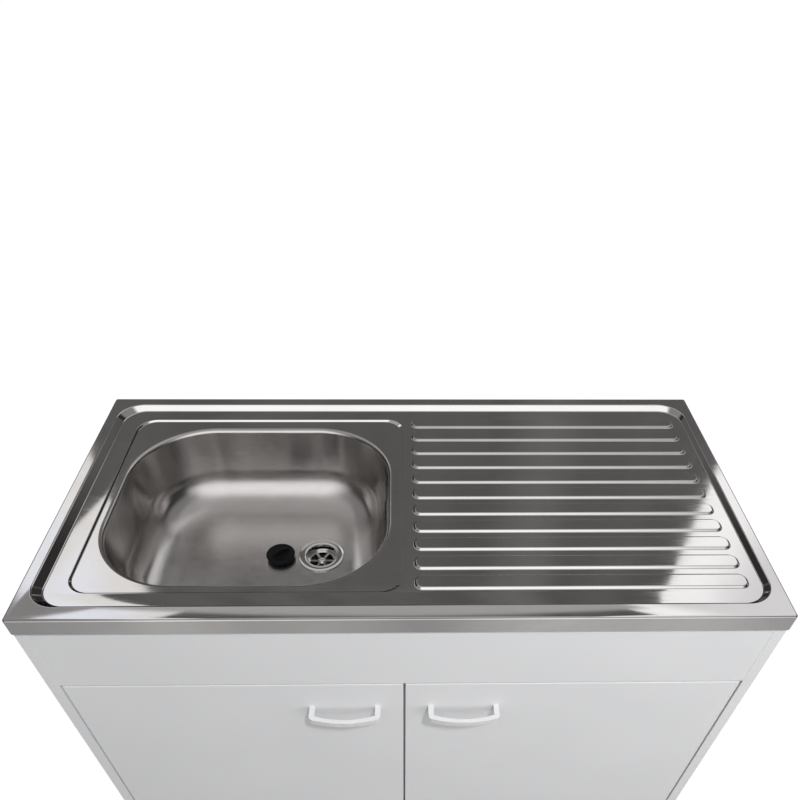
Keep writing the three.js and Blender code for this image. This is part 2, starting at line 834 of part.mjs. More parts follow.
function sinkTop() {
  const outer = lipBlock(0, carcassTop);
  const inner = lipBlock(sheet, carcassTop + sheet);
  const mouth = loft([
    roundedRing(lipRect, -lipReturn, lipCornerRadius, carcassTop - cutMargin, cornerSteps),
    roundedRing(lipRect, -lipReturn, lipCornerRadius, carcassTop + 2 * sheet, cornerSteps),
  ]);
  const shell = outer.subtract(inner).subtract(mouth);
  const underside = sinkSpace(sheet, worktopHeight - sheet / 2);
  const upperSpace = sinkSpace(0, worktopHeight + cutMargin);
  const drainStart = [drainX, drainY, bowlFloorZ - 4 * sheet];
  const drainHole = rod('z', drainStart, 8 * sheet, drainHoleRadius, curveSteps);
  return shell.add(underside).subtract(upperSpace).subtract(drainHole);
}

// The pad is stuck under the bowl's floor, beside the drain.
function soundPad() {
  const draft = Math.tan(THREE.MathUtils.degToRad(bowlDraftDegrees));
  const floorInset = bowlFloorFillet + bowlDepth * draft;
  const rect = {
    x0: bowlRect.x0 + floorInset + padMarginX,
    x1: drainX - flangeRadius - padDrainClearance,
    y0: bowlRect.y0 + floorInset + padMarginY,
    y1: bowlRect.y1 - floorInset - padMarginY,
  };
  const top = bowlFloorZ - sheet;
  return block(rect.x0, rect.x1, rect.y0, rect.y1, top - padThickness, top);
}

function sinkClip(side, y) {
  const hookBottom = carcassTop + sheet + seatGap;
  const hookTop = hookBottom + clipThickness;
  const innerFace = side * innerX;
  const plateFace = side * (innerX - clipThickness);
  const front = y - clipWidth / 2;
  const rear = y + clipWidth / 2;
  const plate = block(plateFace, innerFace, front, rear, carcassTop - clipDrop, hookTop);
  const hookEnd = side * (innerX + clipHookLength);
  const hook = block(plateFace, hookEnd, front, rear, hookBottom, hookTop);
  return plate.add(hook);
}

function addSink() {
  addPiece('sink_top', sinkTop(), materials.steel);
  addPiece('sound_pad', soundPad(), materials.padGrey);
  const clipPlaces = { front: clipFromEdge, rear: carcassDepth - clipFromEdge };
  for (const [sideName, side] of Object.entries(sides)) {
    for (const [placeName, y] of Object.entries(clipPlaces)) {
      addPiece(`${sideName}_${placeName}_sink_clip`, sinkClip(side, y), materials.zinc);
    }
  }
}

// ---- Waste and trap ----------------------------------------------------------------------------
const atDrain = [drainX, drainY, 0];

function wasteFlange() {
  const outerThroat = drainHoleRadius - turnedGap;
  const seatInner = throatRadius - strainerSeat;
  const seatBottom = strainerZ - flangeWall;
  return turned([
    [outerThroat, bowlFloorZ],
    [flangeRadius, bowlFloorZ],
    [flangeRadius, bowlFloorZ + 0.5 * flangeRise],
    [flangeRadius - flangeEdgeBevel, bowlFloorZ + flangeRise],
    [throatRadius + flangeThroatFlare, bowlFloorZ + flangeRise],
    [throatRadius + flangeThroatLip, bowlFloorZ + 0.2 * flangeRise],
    [throatRadius, bowlFloorZ - flangeRise],
    [throatRadius, strainerZ],
    [seatInner, strainerZ],
    [seatInner, seatBottom],
    [outerThroat, seatBottom],
  ], 'z', atDrain);
}

function strainer() {
  const discRadius = throatRadius - turnedGap;
  const top = strainerZ + strainerThickness;
  const disc = rod('z', [drainX, drainY, strainerZ], strainerThickness, discRadius, curveSteps);
  const ringStart = [drainX, drainY, strainerZ - cutMargin];
  const ringHeight = strainerThickness + 2 * cutMargin;
  const openDisc = rod('z', ringStart, ringHeight, strainerOpenRadius, curveSteps);
  const hub = rod('z', ringStart, ringHeight, strainerHubRadius, curveSteps);
  const spokeSide = strainerSpokeWidth / 2;
  let windows = openDisc.subtract(hub);
  for (let spoke = 0; spoke < strainerSpokes; spoke += 1) {
    const bar = block(0, discRadius, -spokeSide, spokeSide, strainerZ - 2 * cutMargin, top + 2 * cutMargin);
    windows = windows.subtract(bar.rotate([0, 0, (360 * spoke) / strainerSpokes]).translate(atDrain));
  }
  const screwHole = rod('z', ringStart, ringHeight, wasteScrewRadius + turnedGap);
  return disc.subtract(windows).subtract(screwHole);
}

function wasteScrew() {
  const headBottom = strainerZ + strainerThickness;
  const headTop = headBottom + wasteScrewHeadHeight;
  const screw = turned([
    [0, headBottom - wasteScrewLength],
    [wasteScrewRadius, headBottom - wasteScrewLength],
    [wasteScrewRadius, headBottom],
    [wasteScrewHeadRadius, headBottom],
    [wasteScrewHeadRadius, headBottom + 0.5 * wasteScrewHeadHeight],
    [0.7 * wasteScrewHeadRadius, headTop],
    [0, headTop],
  ], 'z', atDrain, holeSteps);
  const slotHalf = wasteScrewHeadRadius + cutMargin;
  const slot = block(
    drainX - slotHalf, drainX + slotHalf,
    drainY - wasteScrewSlotWidth / 2, drainY + wasteScrewSlotWidth / 2,
    headTop - wasteScrewSlotDepth, headTop + cutMargin,
  );
  return screw.subtract(slot);
}

function wasteGasket() {
  const bore = drainHoleRadius;
  return turned([
    [bore, wasteTop],
    [flangeRadius - gasketInset, wasteTop],
    [flangeRadius - gasketInset, gasketTop],
    [bore, gasketTop],
  ], 'z', atDrain);
}

function wasteBody() {
  const cupBore = drainHoleRadius;
  const cupFloor = wasteTop - wasteCupDepth;
  const neckBore = wasteNeckRadius - wasteNeckWall;
  const shell = turned([
    [cupBore, wasteTop],
    [flangeRadius, wasteTop],
    [flangeRadius, wasteTop - wasteRimThickness],
    [wasteCupRadius, wasteTop - wasteRimThickness],
    [wasteCupRadius, cupFloor],
    [wasteNeckRadius, neckTop],
    [wasteNeckRadius, neckBottom],
    [neckBore, neckBottom],
    [neckBore, neckTop],
    [cupBore, cupFloor],
  ], 'z', atDrain);
  const bossTop = strainerZ + strainerThickness - wasteScrewLength + wasteBossHeight;
  const bossBottom = bossTop - wasteBossHeight;
  const boss = rod('z', [drainX, drainY, bossBottom], wasteBossHeight, wasteBossRadius);
  const ribSide = wasteRibThickness / 2;
  let inner = boss;
  for (let rib = 0; rib < wasteRibCount; rib += 1) {
    const arm = block(0, cupBore + joinDepth, -ribSide, ribSide, cupFloor, bossTop);
    inner = inner.add(arm.rotate([0, 0, (360 * rib) / wasteRibCount]).translate(atDrain));
  }
  const boreStart = [drainX, drainY, bossBottom - cutMargin];
  const bore = rod('z', boreStart, wasteBossHeight + 2 * cutMargin, wasteScrewRadius + turnedGap);
  return shell.add(inner).subtract(bore);
}

// A union nut: a bore over a thread, a smaller bore at its lip, and a lobed outside to grip.
function unionNut(axis, place, length, radius, threadRadius, pipeRadius) {
  const body = turned([
    [pipeRadius, 0],
    [radius, 0],
    [radius, length],
    [threadRadius, length],
    [threadRadius, trapNutLip],
    [pipeRadius, trapNutLip],
  ], axis, place);
  const onAxis = { y: (c, s) => [c, -cutMargin, s], z: (c, s) => [c, s, -cutMargin] };
  const grooveLength = length + 2 * cutMargin;
  let nut = body;
  for (let lobe = 0; lobe < trapNutLobes; lobe += 1) {
    const angle = (2 * Math.PI * lobe) / trapNutLobes;
    const reach = radius + 0.4 * trapNutGrooveRadius;
    const start = onAxis[axis](reach * Math.cos(angle), reach * Math.sin(angle));
    const groove = rod(axis, start, grooveLength, trapNutGrooveRadius, grooveSteps);
    nut = nut.subtract(groove.translate(place));
  }
  return nut;
}

function dipTube() {
  const bore = trapPipeRadius - trapPipeWall;
  const collarRadius = wasteNeckRadius;
  const collarBottom = neckBottom - trapCollarHeight;
  const bottom = bottleTop - trapDipDepth;
  return turned([
    [bore, bottom],
    [trapPipeRadius, bottom],
    [trapPipeRadius, collarBottom],
    [collarRadius, collarBottom],
    [collarRadius, neckBottom],
    [bore, neckBottom],
  ], 'z', atDrain);
}

function trapBottle() {
  const inner = trapBottleRadius - trapBottleWall;
  const shell = turned([
    [0, bottleBottom],
    [trapBottleRadius - trapBottleBevel, bottleBottom],
    [trapBottleRadius, bottleBottom + trapBottleBevel],
    [trapBottleRadius, bottleTop],
    [trapPipeRadius + turnedGap, bottleTop],
    [trapPipeRadius + turnedGap, bottleTop - trapBottleCap],
    [inner, bottleTop - trapBottleCap],
    [inner, bottleBottom + trapBottleWall + trapBottleBevel],
    [inner - trapBottleBevel, bottleBottom + trapBottleWall],
    [0, bottleBottom + trapBottleWall],
  ], 'z', atDrain);
  const stubStart = [drainX, drainY + inner, outletZ];
  const stub = rod('y', stubStart, stubEndY - stubStart[1], trapStubRadius, curveSteps);
  const seatStart = [drainX, pipeStartY - turnedGap, outletZ];
  const seatLength = trapSeatDepth + turnedGap + cutMargin;
  const seat = rod('y', seatStart, seatLength, trapPipeRadius + turnedGap, curveSteps);
  const boreStart = [drainX, drainY + trapPipeRadius + trapBottleWall, outletZ];
  const bore = rod('y', boreStart, pipeStartY - drainY, trapPipeRadius - trapPipeWall, curveSteps);
  const spaceBottom = bottleBottom + trapBottleWall + trapBottleBevel;
  const spaceStart = [drainX, drainY, spaceBottom];
  const spaceHeight = bottleTop - trapBottleCap - spaceBottom;
  const bottleSpace = rod('z', spaceStart, spaceHeight, inner, curveSteps);
  return shell.add(stub.subtract(bottleSpace)).subtract(seat).subtract(bore);
}

function outletPipe() {
  return turned([
    [trapPipeRadius - trapPipeWall, pipeStartY],
    [trapPipeRadius, pipeStartY],
    [trapPipeRadius, pipeEndY],
    [trapPipeRadius - trapPipeWall, pipeEndY],
  ], 'y', [drainX, 0, outletZ]);
}

function outletNut() {
  const nutEnd = stubEndY + trapNutLip + seatGap;
  const threadRadius = trapStubRadius + turnedGap;
  const pipeRadius = trapPipeRadius + turnedGap;
  const nut = unionNut('y', [0, 0, 0], outletNutLength, outletNutRadius, threadRadius, pipeRadius);
  return nut.rotate([0, 0, 180]).translate([drainX, nutEnd, outletZ]);
}

function addWaste() {
  addPiece('waste_flange', wasteFlange(), materials.polishedSteel);
  addPiece('waste_strainer', strainer(), materials.polishedSteel);
  addPiece('waste_screw', wasteScrew(), materials.polishedSteel);
  addPiece('waste_gasket', wasteGasket(), materials.blackRubber);
  addPiece('waste_body', wasteBody(), materials.trapPlastic);
  const nutPlace = [drainX, drainY, nutBottom];
  const threadRadius = wasteNeckRadius + turnedGap;
  const pipeRadius = trapPipeRadius + turnedGap;
  const nut = unionNut('z', nutPlace, trapNutHeight, trapNutRadius, threadRadius, pipeRadius);
  addPiece('trap_nut', nut, materials.trapPlastic);
  addPiece('trap_dip_tube', dipTube(), materials.trapPlastic);
  addPiece('trap_bottle', trapBottle(), materials.trapPlastic);
  addPiece('outlet_nut', outletNut(), materials.trapPlastic);
  addPiece('outlet_pipe', outletPipe(), materials.trapPlastic);
}

// ---- Plug --------------------------------------------------------------------------------------
function drainPlug() {
  const body = turned([
    [0, 0],
    [plugBaseRadius, 0],
    [plugRadius - 0.5 * plugShoulder, 0.5 * plugBodyHeight],
    [plugRadius, 0.7 * plugBodyHeight],
    [plugRadius, 0.9 * plugBodyHeight],
    [plugRadius - plugShoulder, plugBodyHeight],
    [0, plugBodyHeight],
  ], 'z', [0, 0, 0]);
  const gripHalf = plugRadius - plugGripInset;
  const gripSide = plugGripWidth / 2;
  const bar = block(-gripHalf, gripHalf, -gripSide, gripSide, plugBodyHeight - joinDepth, plugHeight);
  const trim = rod('y', [0, -plugRadius, plugHeight - gripHalf], 2 * plugRadius, gripHalf, curveSteps);
  const baseTop = plugHeight - gripHalf + joinDepth;
  const base = block(-gripHalf, gripHalf, -plugRadius, plugRadius, 0, baseTop);
  const grip = bar.intersect(trim.add(base));
  return body.add(grip).rotate([0, 0, plugGripAngle]).translate([plugX, plugY, bowlFloorZ]);
}

addCarcass();
addDoors();
addHinges();
addSink();
addWaste();
addPiece('drain_plug', drainPlug(), materials.blackRubber);

export default group;
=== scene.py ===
"""A kitchen sink unit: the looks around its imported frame.

A white board cabinet with inset doors and bow handles carries a pressed stainless steel sink top with a
bowl on the left and a ribbed drainer on the right. Lengths are metres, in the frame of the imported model.
"""

import math

import bmesh
import bpy
from mathutils import Matrix, Vector
from mathutils.geometry import tessellate_polygon


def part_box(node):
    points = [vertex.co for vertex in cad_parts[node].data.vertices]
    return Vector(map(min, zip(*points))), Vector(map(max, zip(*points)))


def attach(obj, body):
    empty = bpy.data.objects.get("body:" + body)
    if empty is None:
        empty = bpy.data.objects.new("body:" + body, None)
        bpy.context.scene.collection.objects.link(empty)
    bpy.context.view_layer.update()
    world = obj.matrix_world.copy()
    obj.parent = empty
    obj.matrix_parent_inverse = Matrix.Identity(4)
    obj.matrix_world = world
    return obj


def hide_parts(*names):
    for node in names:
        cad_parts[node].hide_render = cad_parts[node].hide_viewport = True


MM = 0.001
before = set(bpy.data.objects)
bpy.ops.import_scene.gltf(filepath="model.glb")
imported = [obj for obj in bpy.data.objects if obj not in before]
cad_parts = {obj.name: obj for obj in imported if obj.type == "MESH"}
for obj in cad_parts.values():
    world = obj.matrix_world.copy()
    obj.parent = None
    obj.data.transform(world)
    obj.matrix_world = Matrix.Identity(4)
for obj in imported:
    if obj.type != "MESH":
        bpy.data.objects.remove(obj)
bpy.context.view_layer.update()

# ---------------- Sizes ----------------
# Sheet of the sink top
SHEET = 0.8 * MM
LIP_CORNER = 4 * MM
LIP_ROLL = 2.5 * MM
LIP_RETURN = 12 * MM
LIP_RETURN_ROLL = 1.2 * MM
RIM_DROP = 0.9 * MM
RIM_LEAN = math.radians(6)
RIM_INNER_LEAN = math.radians(4.8)

# Sunk field inside the flat rim
RIM_SIDE = 15 * MM
RIM_REAR = 18 * MM
RIM_FRONT = 22 * MM
FIELD_DEPTH = 7 * MM
FIELD_RUN = 8 * MM
FIELD_RUN_LEFT = 15 * MM
FIELD_RUN_REAR = 12.5 * MM
FIELD_CORNER = 40 * MM
FIELD_ROUND = 1.6 * MM
FIELD_SLOPE = math.radians(52)
FIELD_SAG = math.radians(2.8)

# Shallow step round the bowl
ZONE_LEFT = 55 * MM
ZONE_WIDTH = 448 * MM
ZONE_FRONT = 51.5 * MM
ZONE_REAR = 54 * MM
ZONE_DEPTH = 2.5 * MM
ZONE_RUN = 3.6 * MM
ZONE_RUN_RIGHT = 9 * MM
ZONE_CORNER = 30 * MM
ZONE_ROUND = 0.7 * MM
ZONE_SLOPE = math.radians(56)
ZONE_SOFT_RIGHT = 0.75

# Bowl
BOWL_DEPTH = 150 * MM
BOWL_LEFT = 17 * MM
BOWL_RIGHT = 27 * MM
BOWL_FRONT = 18.5 * MM
BOWL_REAR = 28 * MM
BOWL_CORNER = 120 * MM
BOWL_ROLL = 7 * MM
BOWL_FILLET = 68 * MM
BOWL_WALL_ANGLE = math.radians(86)
BOWL_EASE = math.radians(4.5)

# Ribs of the drainer
RIB_PITCH = 36.5 * MM
RIB_WIDTH = 28 * MM
RIB_HEIGHT = 2.8 * MM
RIB_RUN = 4.5 * MM
RIB_ROUND = 1.8 * MM
RIB_END = 12 * MM
RIB_FROM_ZONE = 10 * MM
RIB_FROM_FIELD = 13.5 * MM
RIB_AREA_RUN = 10 * MM
RIB_FRONT = 54 * MM
RIB_REAR = 52 * MM
RIB_CORNER_STEPS = 12

# Drain. Beads and dishes are insets or outsets, the shares are of the flange's rise.
DRAIN_HOLE = 26 * MM
FLANGE_RADIUS = 38 * MM
FLANGE_RISE = 2.2 * MM
FLANGE_FIT = 0.3 * MM
FLANGE_BEAD = 0.8 * MM
FLANGE_SIDE_SHARE = 0.5
FLANGE_DISH_OUTER = (2.8 * MM, 0.6)
FLANGE_DISH_INNER = (3.2 * MM, 0.56)
THROAT_RADIUS = 24.5 * MM
THROAT_DEPTH = 14 * MM
THROAT_TOP = 1.5 * MM
THROAT_BEAD = 0.9 * MM
THROAT_BEAD_SHARE = 0.35
THROAT_FOOT = 1 * MM
SEAT_RADIUS = 21 * MM
SEAT_THICKNESS = 1.2 * MM
STRAINER_RADIUS = 24.2 * MM
STRAINER_THICKNESS = 2 * MM
STRAINER_OPEN = 19.5 * MM
STRAINER_HUB = 7.5 * MM
STRAINER_SPOKE = 4 * MM
STRAINER_SPOKES = 6
STRAINER_ROUND = 0.6 * MM
STRAINER_WINDOW_STEPS = 4
WASTE_HEAD_RADIUS = 5.5 * MM
WASTE_HEAD_HEIGHT = 3 * MM
WASTE_HEAD_SIDE_SHARE = 0.45
WASTE_HEAD_DOME_SHARE = 0.55
WASTE_HEAD_ANGLES = (0.5, 0.9, 1.25)
WASTE_HEAD_ROUND = 0.25 * MM
WASTE_SHANK = 2.8 * MM
WASTE_SHANK_GAP = 0.3 * MM
WASTE_SCREW_LENGTH = 34 * MM
WASTE_SLOT_WIDTH = 1.2 * MM
WASTE_SLOT_DEPTH = 1.4 * MM
CUT_MARGIN = 1 * MM

# Plug. The rim and the shoulder are beads: inset, distance under the top and radius.
PLUG_RADIUS = 23.5 * MM
PLUG_BASE = 20 * MM
PLUG_BODY = 11 * MM
PLUG_HEIGHT = 18.6 * MM
PLUG_GRIP_WIDTH = 5 * MM
PLUG_GRIP_INSET = 3 * MM
PLUG_GRIP_ANGLE = math.radians(38)
PLUG_GRIP_SINK = 2 * MM
PLUG_WAIST = 0.8 * MM
PLUG_RIM = (1.2 * MM, 2.6 * MM, 1.2 * MM)
PLUG_SHOULDER = (3 * MM, 1.4 * MM, 1.4 * MM)
PLUG_DISH = (5 * MM, 0.9 * MM)
PLUG_ROUND = 0.9 * MM

# Trap under the bowl
PIPE_RADIUS = 16 * MM
PIPE_WALL = 2 * MM
PIPE_FOOT = 0.5 * MM
PIPE_END_FLAT = 1.2 * MM
PIPE_END_BEVEL = 0.4 * MM
COLLAR_RADIUS = 22.5 * MM
COLLAR_HEIGHT = 4 * MM
BOTTLE_RADIUS = 32 * MM
BOTTLE_NECK = 31 * MM
BOTTLE_WALL = 2.5 * MM
BOTTLE_CAP = 4 * MM
BOTTLE_ROUND = 4 * MM
CUP_HEIGHT = 46 * MM
CUP_EDGE = 1 * MM
CUP_FLUTES = (24, 0.9 * MM, 31.9 * MM)
CUP_STEPS = 240
SEAM_GAP = 0.4 * MM
SEAM_EDGE = 0.6 * MM
SEAM_BEAD = (3 * MM, 4.2 * MM, 5.6 * MM)
SEAM_BEAD_RADIUS = 1.2 * MM
SEAM_BEAD_INSET = 0.2 * MM
STUB_RADIUS = 19 * MM
TRAP_EDGE = 0.8 * MM
NUT_LIP = 5 * MM
NUT_GAP = 0.3 * MM
NUT_GROOVE = 1.8 * MM
NUT_GROOVES = 8
NUT_GROOVE_START = 0.05 * MM
NUT_EDGE = 2 * MM
NUT_FOOT = 1 * MM
NUT_STEPS = 192

# Bow handles
HANDLE_SPACING = 96 * MM
HANDLE_END = 4 * MM
HANDLE_LEG = 8 * MM
HANDLE_HEIGHT = 9.5 * MM
HANDLE_BAR = 6 * MM
HANDLE_REACH = 23 * MM
HANDLE_BULGE = 7 * MM
HANDLE_CORNER = 7 * MM
HANDLE_SHOULDER = 1 * MM
HANDLE_ROUND = 1.6 * MM
HANDLE_CORNER_STEPS = 8
HANDLE_BOW_STEPS = 40

# Soft edges of the CAD nodes that keep their shape: what a node's name holds, its material and the width of
# the rounding. The first line that fits counts.
FINISHES = (
    ("_screw", "zinc", 0.2 * MM),
    ("hinge", "zinc", 0.2 * MM),
    ("clip", "zinc", 0.2 * MM),
    ("_door", "board", 0.9 * MM),
    ("_panel", "board", 0.5 * MM),
    ("_rail", "board", 0.5 * MM),
    ("plinth_board", "board", 0.5 * MM),
    ("waste_body", "waste", 0.3 * MM),
    ("sound_pad", "pad", 0.4 * MM),
    ("_glide", "glide", 0.3 * MM),
    ("", "rubber", 0.3 * MM),
)
WELD = 0.02 * MM

# Steel: grain, smears and slow waves are cycles per metre. A painted reflection band along the lip is pace,
# start and share: darker tone put into the lip's colour where it mirrors darker surroundings.
STEEL_ANISOTROPY = 0.8
STEEL_GRAIN = 900
STEEL_GRAIN_TONE = 0.16
STEEL_GRAIN_ROUGH = (-0.02, 0.03)
STEEL_SMEARS = 7
STEEL_WAVES = 5.5
LIP_REFLECTION_BANDS = ((11.5, 1.7, 1.0), (27, 0.6, 0.4))
LIP_REFLECTION_SLOPE = -1.3
LIP_REFLECTION_SPAN = (-1.4, 1.4)
LIP_REFLECTION_TONE = (0.1, 0.1, 0.105)

# Boards, plastic, zinc plating and the painted shade in the drain's bore
BOARD_PEARL = 1100
BOARD_PEARL_DEPTH = 0.04 * MM
BOARD_CLOUDS = 6
BOARD_SMEARS = 40
BOARD_SPECULAR = 0.45
PLASTIC_CLOUDS = 35
PLATING_CRYSTALS = 420
PLATING_CLOUDS = 60
PLATING_DEPTH = 0.03 * MM
PLATING_SPAN = (0, 0.8)
NOISE_SPAN = (0.3, 0.7)
# Painted shade in the drain's bore: core radius, bore span, fade, share and dark tone
BORE_SHADE_CORE = 18 * MM
BORE_SHADE_SPAN = (DRAIN_HOLE + 0.3 * MM, DRAIN_HOLE + 1.5 * MM)
BORE_SHADE_FADE = 1 * MM
BORE_SHADE_SHARE = 0.97
BORE_SHADE_TONE = (0.012, 0.011, 0.01)

# Camera of the photograph: place, tilt and lens
CAMERA_PLACE = Vector((-0.0042, -0.7762, 1.5082))
CAMERA_PITCH = 0.8083
CAMERA_YAW = 0.0284
CAMERA_ROLL = 0.0163
CAMERA_LENS = 30.525
CAMERA_SENSOR = 36
CAMERA_SHIFT = (-0.01784, 0.20963)

# Surroundings mirrored in the steel, by direction. Edges are degrees where a fade starts and ends: azimuth
# from the back towards the right, or height above the horizon.
WALL_LEFT = (-29.3, -28.9)
WALL_RIGHT = (30.4, 30.8)
MIDDLE_EDGE = (-2, 2)
WALL_LIGHT = (0.122, 0.155)
WALL_TINT = (1.0, 0.975, 0.975)
WALL_GLOWS = ((14.5, 5.5, 0.045), (-12, 7, 0.015))
WALL_STREAK_SCALE = 0.14
WALL_STREAK_STRETCH = 0.2
SKY_LEFT = (1.12, 1.11, 1.1)
SKY_FAR_LEFT = (1.18, 1.22, 1.32)
SKY_LEFT_TURN = (-35.5, -31)
SKY_LEFT_END = (-41, -39.5)
SKY_RIGHT = (1.42, 1.42, 1.44)
SKY_FAR_RIGHT = (1.0, 1.0, 1.02)
SKY_RIGHT_TURN = (33, 39)
SKY_RIGHT_END = (50, 56)
SIDES = (0.33, 0.325, 0.325)
ROOF_EDGE = (49.5, 52.5)
ROOF_RIGHT = (32.5, 34.5)
ROOF = (0.52, 0.515, 0.51)
HORIZON_EDGE = (25, 31)
HORIZON = (0.15, 0.145, 0.142)
HORIZON_DARK = (0.04, 0.038, 0.037)
HORIZON_TURN = (40, 49)
HORIZON_FOOT = (12, 14.3)
FRONT_EDGE = (-0.62, -0.42)
FRONT_TURN = (116, 156)
FRONT = (1.5, 1.5, 1.51)

# Daylight on everything that isn't mirrored: full from the front, faint from low down at the back
DAYLIGHT = 0.55
DAYLIGHT_EDGE = (-0.15, 0.5)
DAYLIGHT_BACK = (0.08, 0.5)
DAYLIGHT_RISE = (0.4, 0.9)

# Floor, and its glow where the camera sees it and where steel mirrors it
FLOOR_REACH = 30
FLOOR_SPECKLE = 300
FLOOR_TONES = ((0.22, 0.22, 0.22), (0.25, 0.25, 0.25))
FLOOR_ROUGH = 0.8
FLOOR_SPECULAR = 0.1
FLOOR_SEEN = 0.9
FLOOR_MIRRORED = 0.46

# Lamps: place, size and power. Both aim at the doors.
LAMP_AIM = Vector((0, -0.2, 0.6))
KEY_LAMP = (Vector((0.6, -1.45, 3.0)), 0.2, 37)
FILL_LAMP = (Vector((1.2, -1.3, 1.2)), 0.9, 5.5)

# Facets, and the angle from which an edge is shaded sharp
CORNER_STEPS = 20
ROLL_STEPS = 6
BOWL_STEPS = 16
BOWL_CORNER_STEPS = 32
TURN_STEPS = 96
SCREW_STEPS = 48
ARC_STEPS = 6
SHARP = math.radians(50)
SHARP_BOTTLE = math.radians(60)
BEVEL_ANGLE_CAD = math.radians(40)
LEAST_CORNER = 0.2 * MM
TINY = 1e-6
HALVINGS = 60

# ---------------- Places, from the frame ----------------
SINK_LOW, SINK_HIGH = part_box("sink_top")
DECK_Z = SINK_HIGH.z
LIP_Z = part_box("front_rail")[1].z
FIELD_Z = DECK_Z - FIELD_DEPTH
ZONE_Z = FIELD_Z - ZONE_DEPTH
BOWL_Z = DECK_Z - BOWL_DEPTH
FLANGE_LOW, FLANGE_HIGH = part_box("waste_flange")
DRAIN_X = (FLANGE_LOW.x + FLANGE_HIGH.x) / 2
DRAIN_Y = (FLANGE_LOW.y + FLANGE_HIGH.y) / 2
STRAINER_Z = BOWL_Z - THROAT_DEPTH


def rect(x0, x1, y0, y1):
    return {"x0": x0, "x1": x1, "y0": y0, "y1": y1}


def grown(area, outset):
    return rect(area["x0"] - outset, area["x1"] + outset, area["y0"] - outset, area["y1"] + outset)


LIP_RECT = rect(SINK_LOW.x, SINK_HIGH.x, SINK_LOW.y, SINK_HIGH.y)
FIELD_RECT = rect(
    SINK_LOW.x + RIM_SIDE, SINK_HIGH.x - RIM_SIDE, SINK_LOW.y + RIM_FRONT, SINK_HIGH.y - RIM_REAR
)
ZONE_RECT = rect(
    SINK_LOW.x + ZONE_LEFT,
    SINK_LOW.x + ZONE_LEFT + ZONE_WIDTH,
    SINK_LOW.y + ZONE_FRONT,
    SINK_HIGH.y - ZONE_REAR,
)
BOWL_RECT = rect(
    ZONE_RECT["x0"] + BOWL_LEFT,
    ZONE_RECT["x1"] - BOWL_RIGHT,
    ZONE_RECT["y0"] + BOWL_FRONT,
    ZONE_RECT["y1"] - BOWL_REAR,
)


# ---------------- Node materials ----------------
class Nodes:
    """The node tree of a material or world, with short calls for the nodes used here.

    A value is a number, a colour, another node's output, or None for a socket that keeps its own.
    """

    def __init__(self, owner):
        owner.use_nodes = True
        self.tree = owner.node_tree
        self.tree.nodes.clear()

    def link(self, source, target):
        self.tree.links.new(source, target)

    def feed(self, socket, value):
        if isinstance(value, tuple):
            socket.default_value = (*value, 1) if socket.type == "RGBA" else value
        elif isinstance(value, (int, float)):
            socket.default_value = value
        elif value is not None:
            self.link(value, socket)

    def add(self, kind, *values, **settings):
        """Adds a node with its settings and feeds its sockets in their order."""
        node = self.tree.nodes.new("ShaderNode" + kind)
        for name, value in settings.items():
            setattr(node, name, value)
        for socket, value in zip(node.inputs, values):
            self.feed(socket, value)
        return node

    def fill(self, node, **values):
        """Feeds sockets by name, with _ for a space."""
        for name, value in values.items():
            self.feed(node.inputs[name.replace("_", " ")], value)
        return node

    def math(self, operation, *values):
        return self.add("Math", *values, operation=operation).outputs[0]

    def spread(self, value, low, high, span=NOISE_SPAN, kind="LINEAR"):
        """Maps a span of a value to the range from low to high, and clamps it."""
        return self.add("MapRange", value, *span, low, high, interpolation_type=kind).outputs[0]

    def fade(self, value, span, low=0.0, high=1.0):
        return self.spread(value, low, high, span, "SMOOTHSTEP")

    def mix(self, factor, first, second):
        node = self.add("Mix", factor, data_type="RGBA")
        self.feed(node.inputs[6], first)
        self.feed(node.inputs[7], second)
        return node.outputs[2]


class Shader(Nodes):
    """A material round one surface shader."""

    def __init__(self, name):
        self.material = bpy.data.materials.new(name)
        super().__init__(self.material)
        self.surface = self.add("BsdfPrincipled")
        self.output = self.add("OutputMaterial", self.surface.outputs[0])
        self.place = self.add("TexCoord").outputs["Object"]

    def noise(self, scale, stretch=(1, 1, 1), detail=3, roughness=0.5, distortion=0):
        node = self.add("TexNoise", self.add("Mapping", self.place, None, None, stretch).outputs[0])
        self.fill(node, Scale=scale, Detail=detail, Roughness=roughness, Distortion=distortion)
        return node.outputs["Fac"]

    def bump(self, height, distance, after=None):
        node = self.fill(self.add("Bump"), Strength=1.0, Distance=distance, Height=height, Normal=after)
        return node.outputs["Normal"]

    def set(self, **values):
        self.fill(self.surface, **values)


